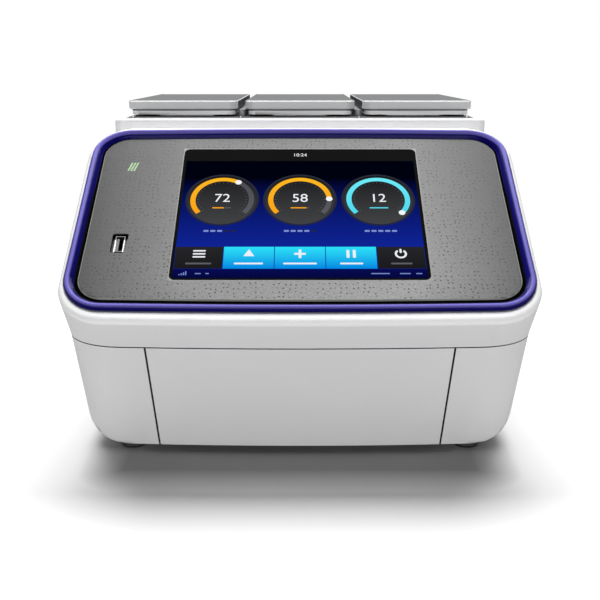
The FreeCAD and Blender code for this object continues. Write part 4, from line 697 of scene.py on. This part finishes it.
def makeKeys():
    bm = bmesh.new()
    tall = keys["high"] - keys["low"]
    y = (keys["high"] + keys["low"]) / 2
    third = keys["middleWidth"] / 3
    side = (screen["width"] - keys["middleWidth"]) / 2
    middles = (-third, 0, third)
    outers = (-(keys["middleWidth"] + side) / 2, (keys["middleWidth"] + side) / 2)
    for x in middles:
        addPatch(bm, (third - keys["gap"], tall), (x, y), 3, "key")
    for x in outers:
        addPatch(bm, (side - keys["gap"], tall), (x, y), 3, "dark key")
    for places, lengths, glow in ((outers, keys["sideLines"], "unlit"), (middles, keys["middleLines"], "white")):
        for x, long in zip(places, lengths):
            addPatch(bm, (long * mm, keys["lineTall"]), (x, y - keys["lineDown"]), 4, glow, keys["lineCorner"])
    # a triangle, a plus and two bars on the bright keys; three stripes and an open ring on the dark ones
    up = y + keys["iconUp"]
    addDisc(bm, icons["triangle"], (-third, up), 4, "white", sides=3)
    addPatch(bm, (icons["plusLong"], icons["plusThick"]), (0, up), 4, "white")
    addPatch(bm, (icons["plusThick"], icons["plusLong"]), (0, up), 5, "white")
    for x in (third - icons["barOut"], third + icons["barOut"]):
        addPatch(bm, icons["bar"], (x, up), 4, "white", icons["barCorner"])
    for step in (-1, 0, 1):
        addPatch(bm, icons["stripe"], (outers[0], up + step * icons["stripePitch"]), 4, "white", icons["corner"])
    addArc(bm, *icons["ring"], icons["ringOpen"], 2 * math.pi - icons["ringOpen"], (outers[1], up), 4, "white",
           icons["ringSteps"])
    addPatch(bm, icons["stem"], (outers[1], up + icons["stemUp"]), 4, "white", icons["corner"])
    finishPicture("screen_keys", bm)


makeField()
for number, look in enumerate(gauges, start=1):
    makeGauge(number, look)
makeKeys()

print("stage 4: light, floor and camera")

studio = {"floor": 6.0, "paper": 0.9, "bounce": 0.5, "roughness": 0.9, "shadowReach": (0.42, 0.75),
          "footprint": (0.12, 0.206), "under": 0.37, "fade": 0.03, "world": 0.13,
          "cameraAt": (0, -0.735, 0.2635), "cameraPitch": 74.76, "lens": 51.3, "sensor": 36}
# the lamp overhead hangs behind the object's middle, and the front gets its light from the fill
lamps = {"overhead": {"size": (1.8, 1.1), "power": 57, "at": (0, 0.48, 1.5), "aim": (0, 0, 0.1)},
         "front fill": {"size": (4, 0.8), "power": 66, "at": (0, -4, 0.45), "aim": (0, 0, 0.12)}}


def addFloor():
    bm = bmesh.new()
    bmesh.ops.create_grid(bm, x_segments=1, y_segments=1, size=studio["floor"] / 2)
    mesh = bpy.data.meshes.new("floor")
    bm.to_mesh(mesh)
    bm.free()
    floor = bpy.data.objects.new("floor", mesh)
    bpy.context.scene.collection.objects.link(floor)
    # white paper that takes the object's shadow and runs out into the white of the background
    made, shader = newFinish("floor paper", {"Roughness": studio["roughness"], "Specular IOR Level": 0})
    coords = addNode(made, "TexCoord")
    reach = addNode(made, "VectorMath", operation="LENGTH")
    join(made, coords.outputs["Object"], reach.inputs[0])
    away = spread(made, reach.outputs["Value"], 0, 1, *studio["shadowReach"])
    path = addNode(made, "LightPath")
    # close under the object the paper is deep in shade
    gone = farOut(made, placeParts(made)[:2], studio["footprint"])
    seen = maths(made, "MULTIPLY", spread(made, gone, studio["under"], 1, 0, studio["fade"]), studio["paper"])
    shade = addNode(made, "Mix")
    shade.inputs["A"].default_value = studio["bounce"]
    join(made, seen, shade.inputs["B"])
    join(made, path.outputs["Is Camera Ray"], shade.inputs["Factor"])
    join(made, shade.outputs["Result"], shader.inputs["Base Color"])
    glow = addNode(made, "Emission")
    sheet = addNode(made, "MixShader")
    join(made, maths(made, "MULTIPLY", away, path.outputs["Is Camera Ray"]), sheet.inputs["Fac"])
    join(made, shader.outputs["BSDF"], sheet.inputs[1])
    join(made, glow.outputs["Emission"], sheet.inputs[2])
    join(made, sheet.outputs["Shader"], made.node_tree.nodes["Material Output"].inputs["Surface"])
    mesh.materials.append(made)


def addLamp(name, look):
    data = bpy.data.lights.new(name, "AREA")
    data.shape = "RECTANGLE"
    data.size, data.size_y = look["size"]
    data.energy = look["power"]
    lamp = bpy.data.objects.new(name, data)
    lamp.location = look["at"]
    lamp.rotation_euler = (Vector(look["aim"]) - Vector(look["at"])).to_track_quat("-Z", "Y").to_euler()
    bpy.context.scene.collection.objects.link(lamp)


def addWorld():
    # dim and level for the object, white where the camera sees it
    world = bpy.data.worlds.new("studio")
    bpy.context.scene.world = world
    world.use_nodes = True
    back = world.node_tree.nodes["Background"]
    back.inputs["Color"].default_value = (1, 1, 1, 1)
    path = addNode(world, "LightPath")
    seen = maths(world, "MAXIMUM", path.outputs["Is Camera Ray"], path.outputs["Is Transmission Ray"])
    join(world, spread(world, seen, studio["world"], 1, 0, 1), back.inputs["Strength"])


def addCamera():
    data = bpy.data.cameras.new("camera")
    data.lens = studio["lens"]
    data.sensor_width = studio["sensor"]
    camera = bpy.data.objects.new("camera", data)
    camera.location = studio["cameraAt"]
    camera.rotation_euler = (math.radians(studio["cameraPitch"]), 0, 0)
    bpy.context.scene.collection.objects.link(camera)
    bpy.context.scene.camera = camera


addFloor()
for name, look in lamps.items():
    addLamp(name, look)
addWorld()
addCamera()
bpy.context.scene.view_settings.view_transform = "Standard"
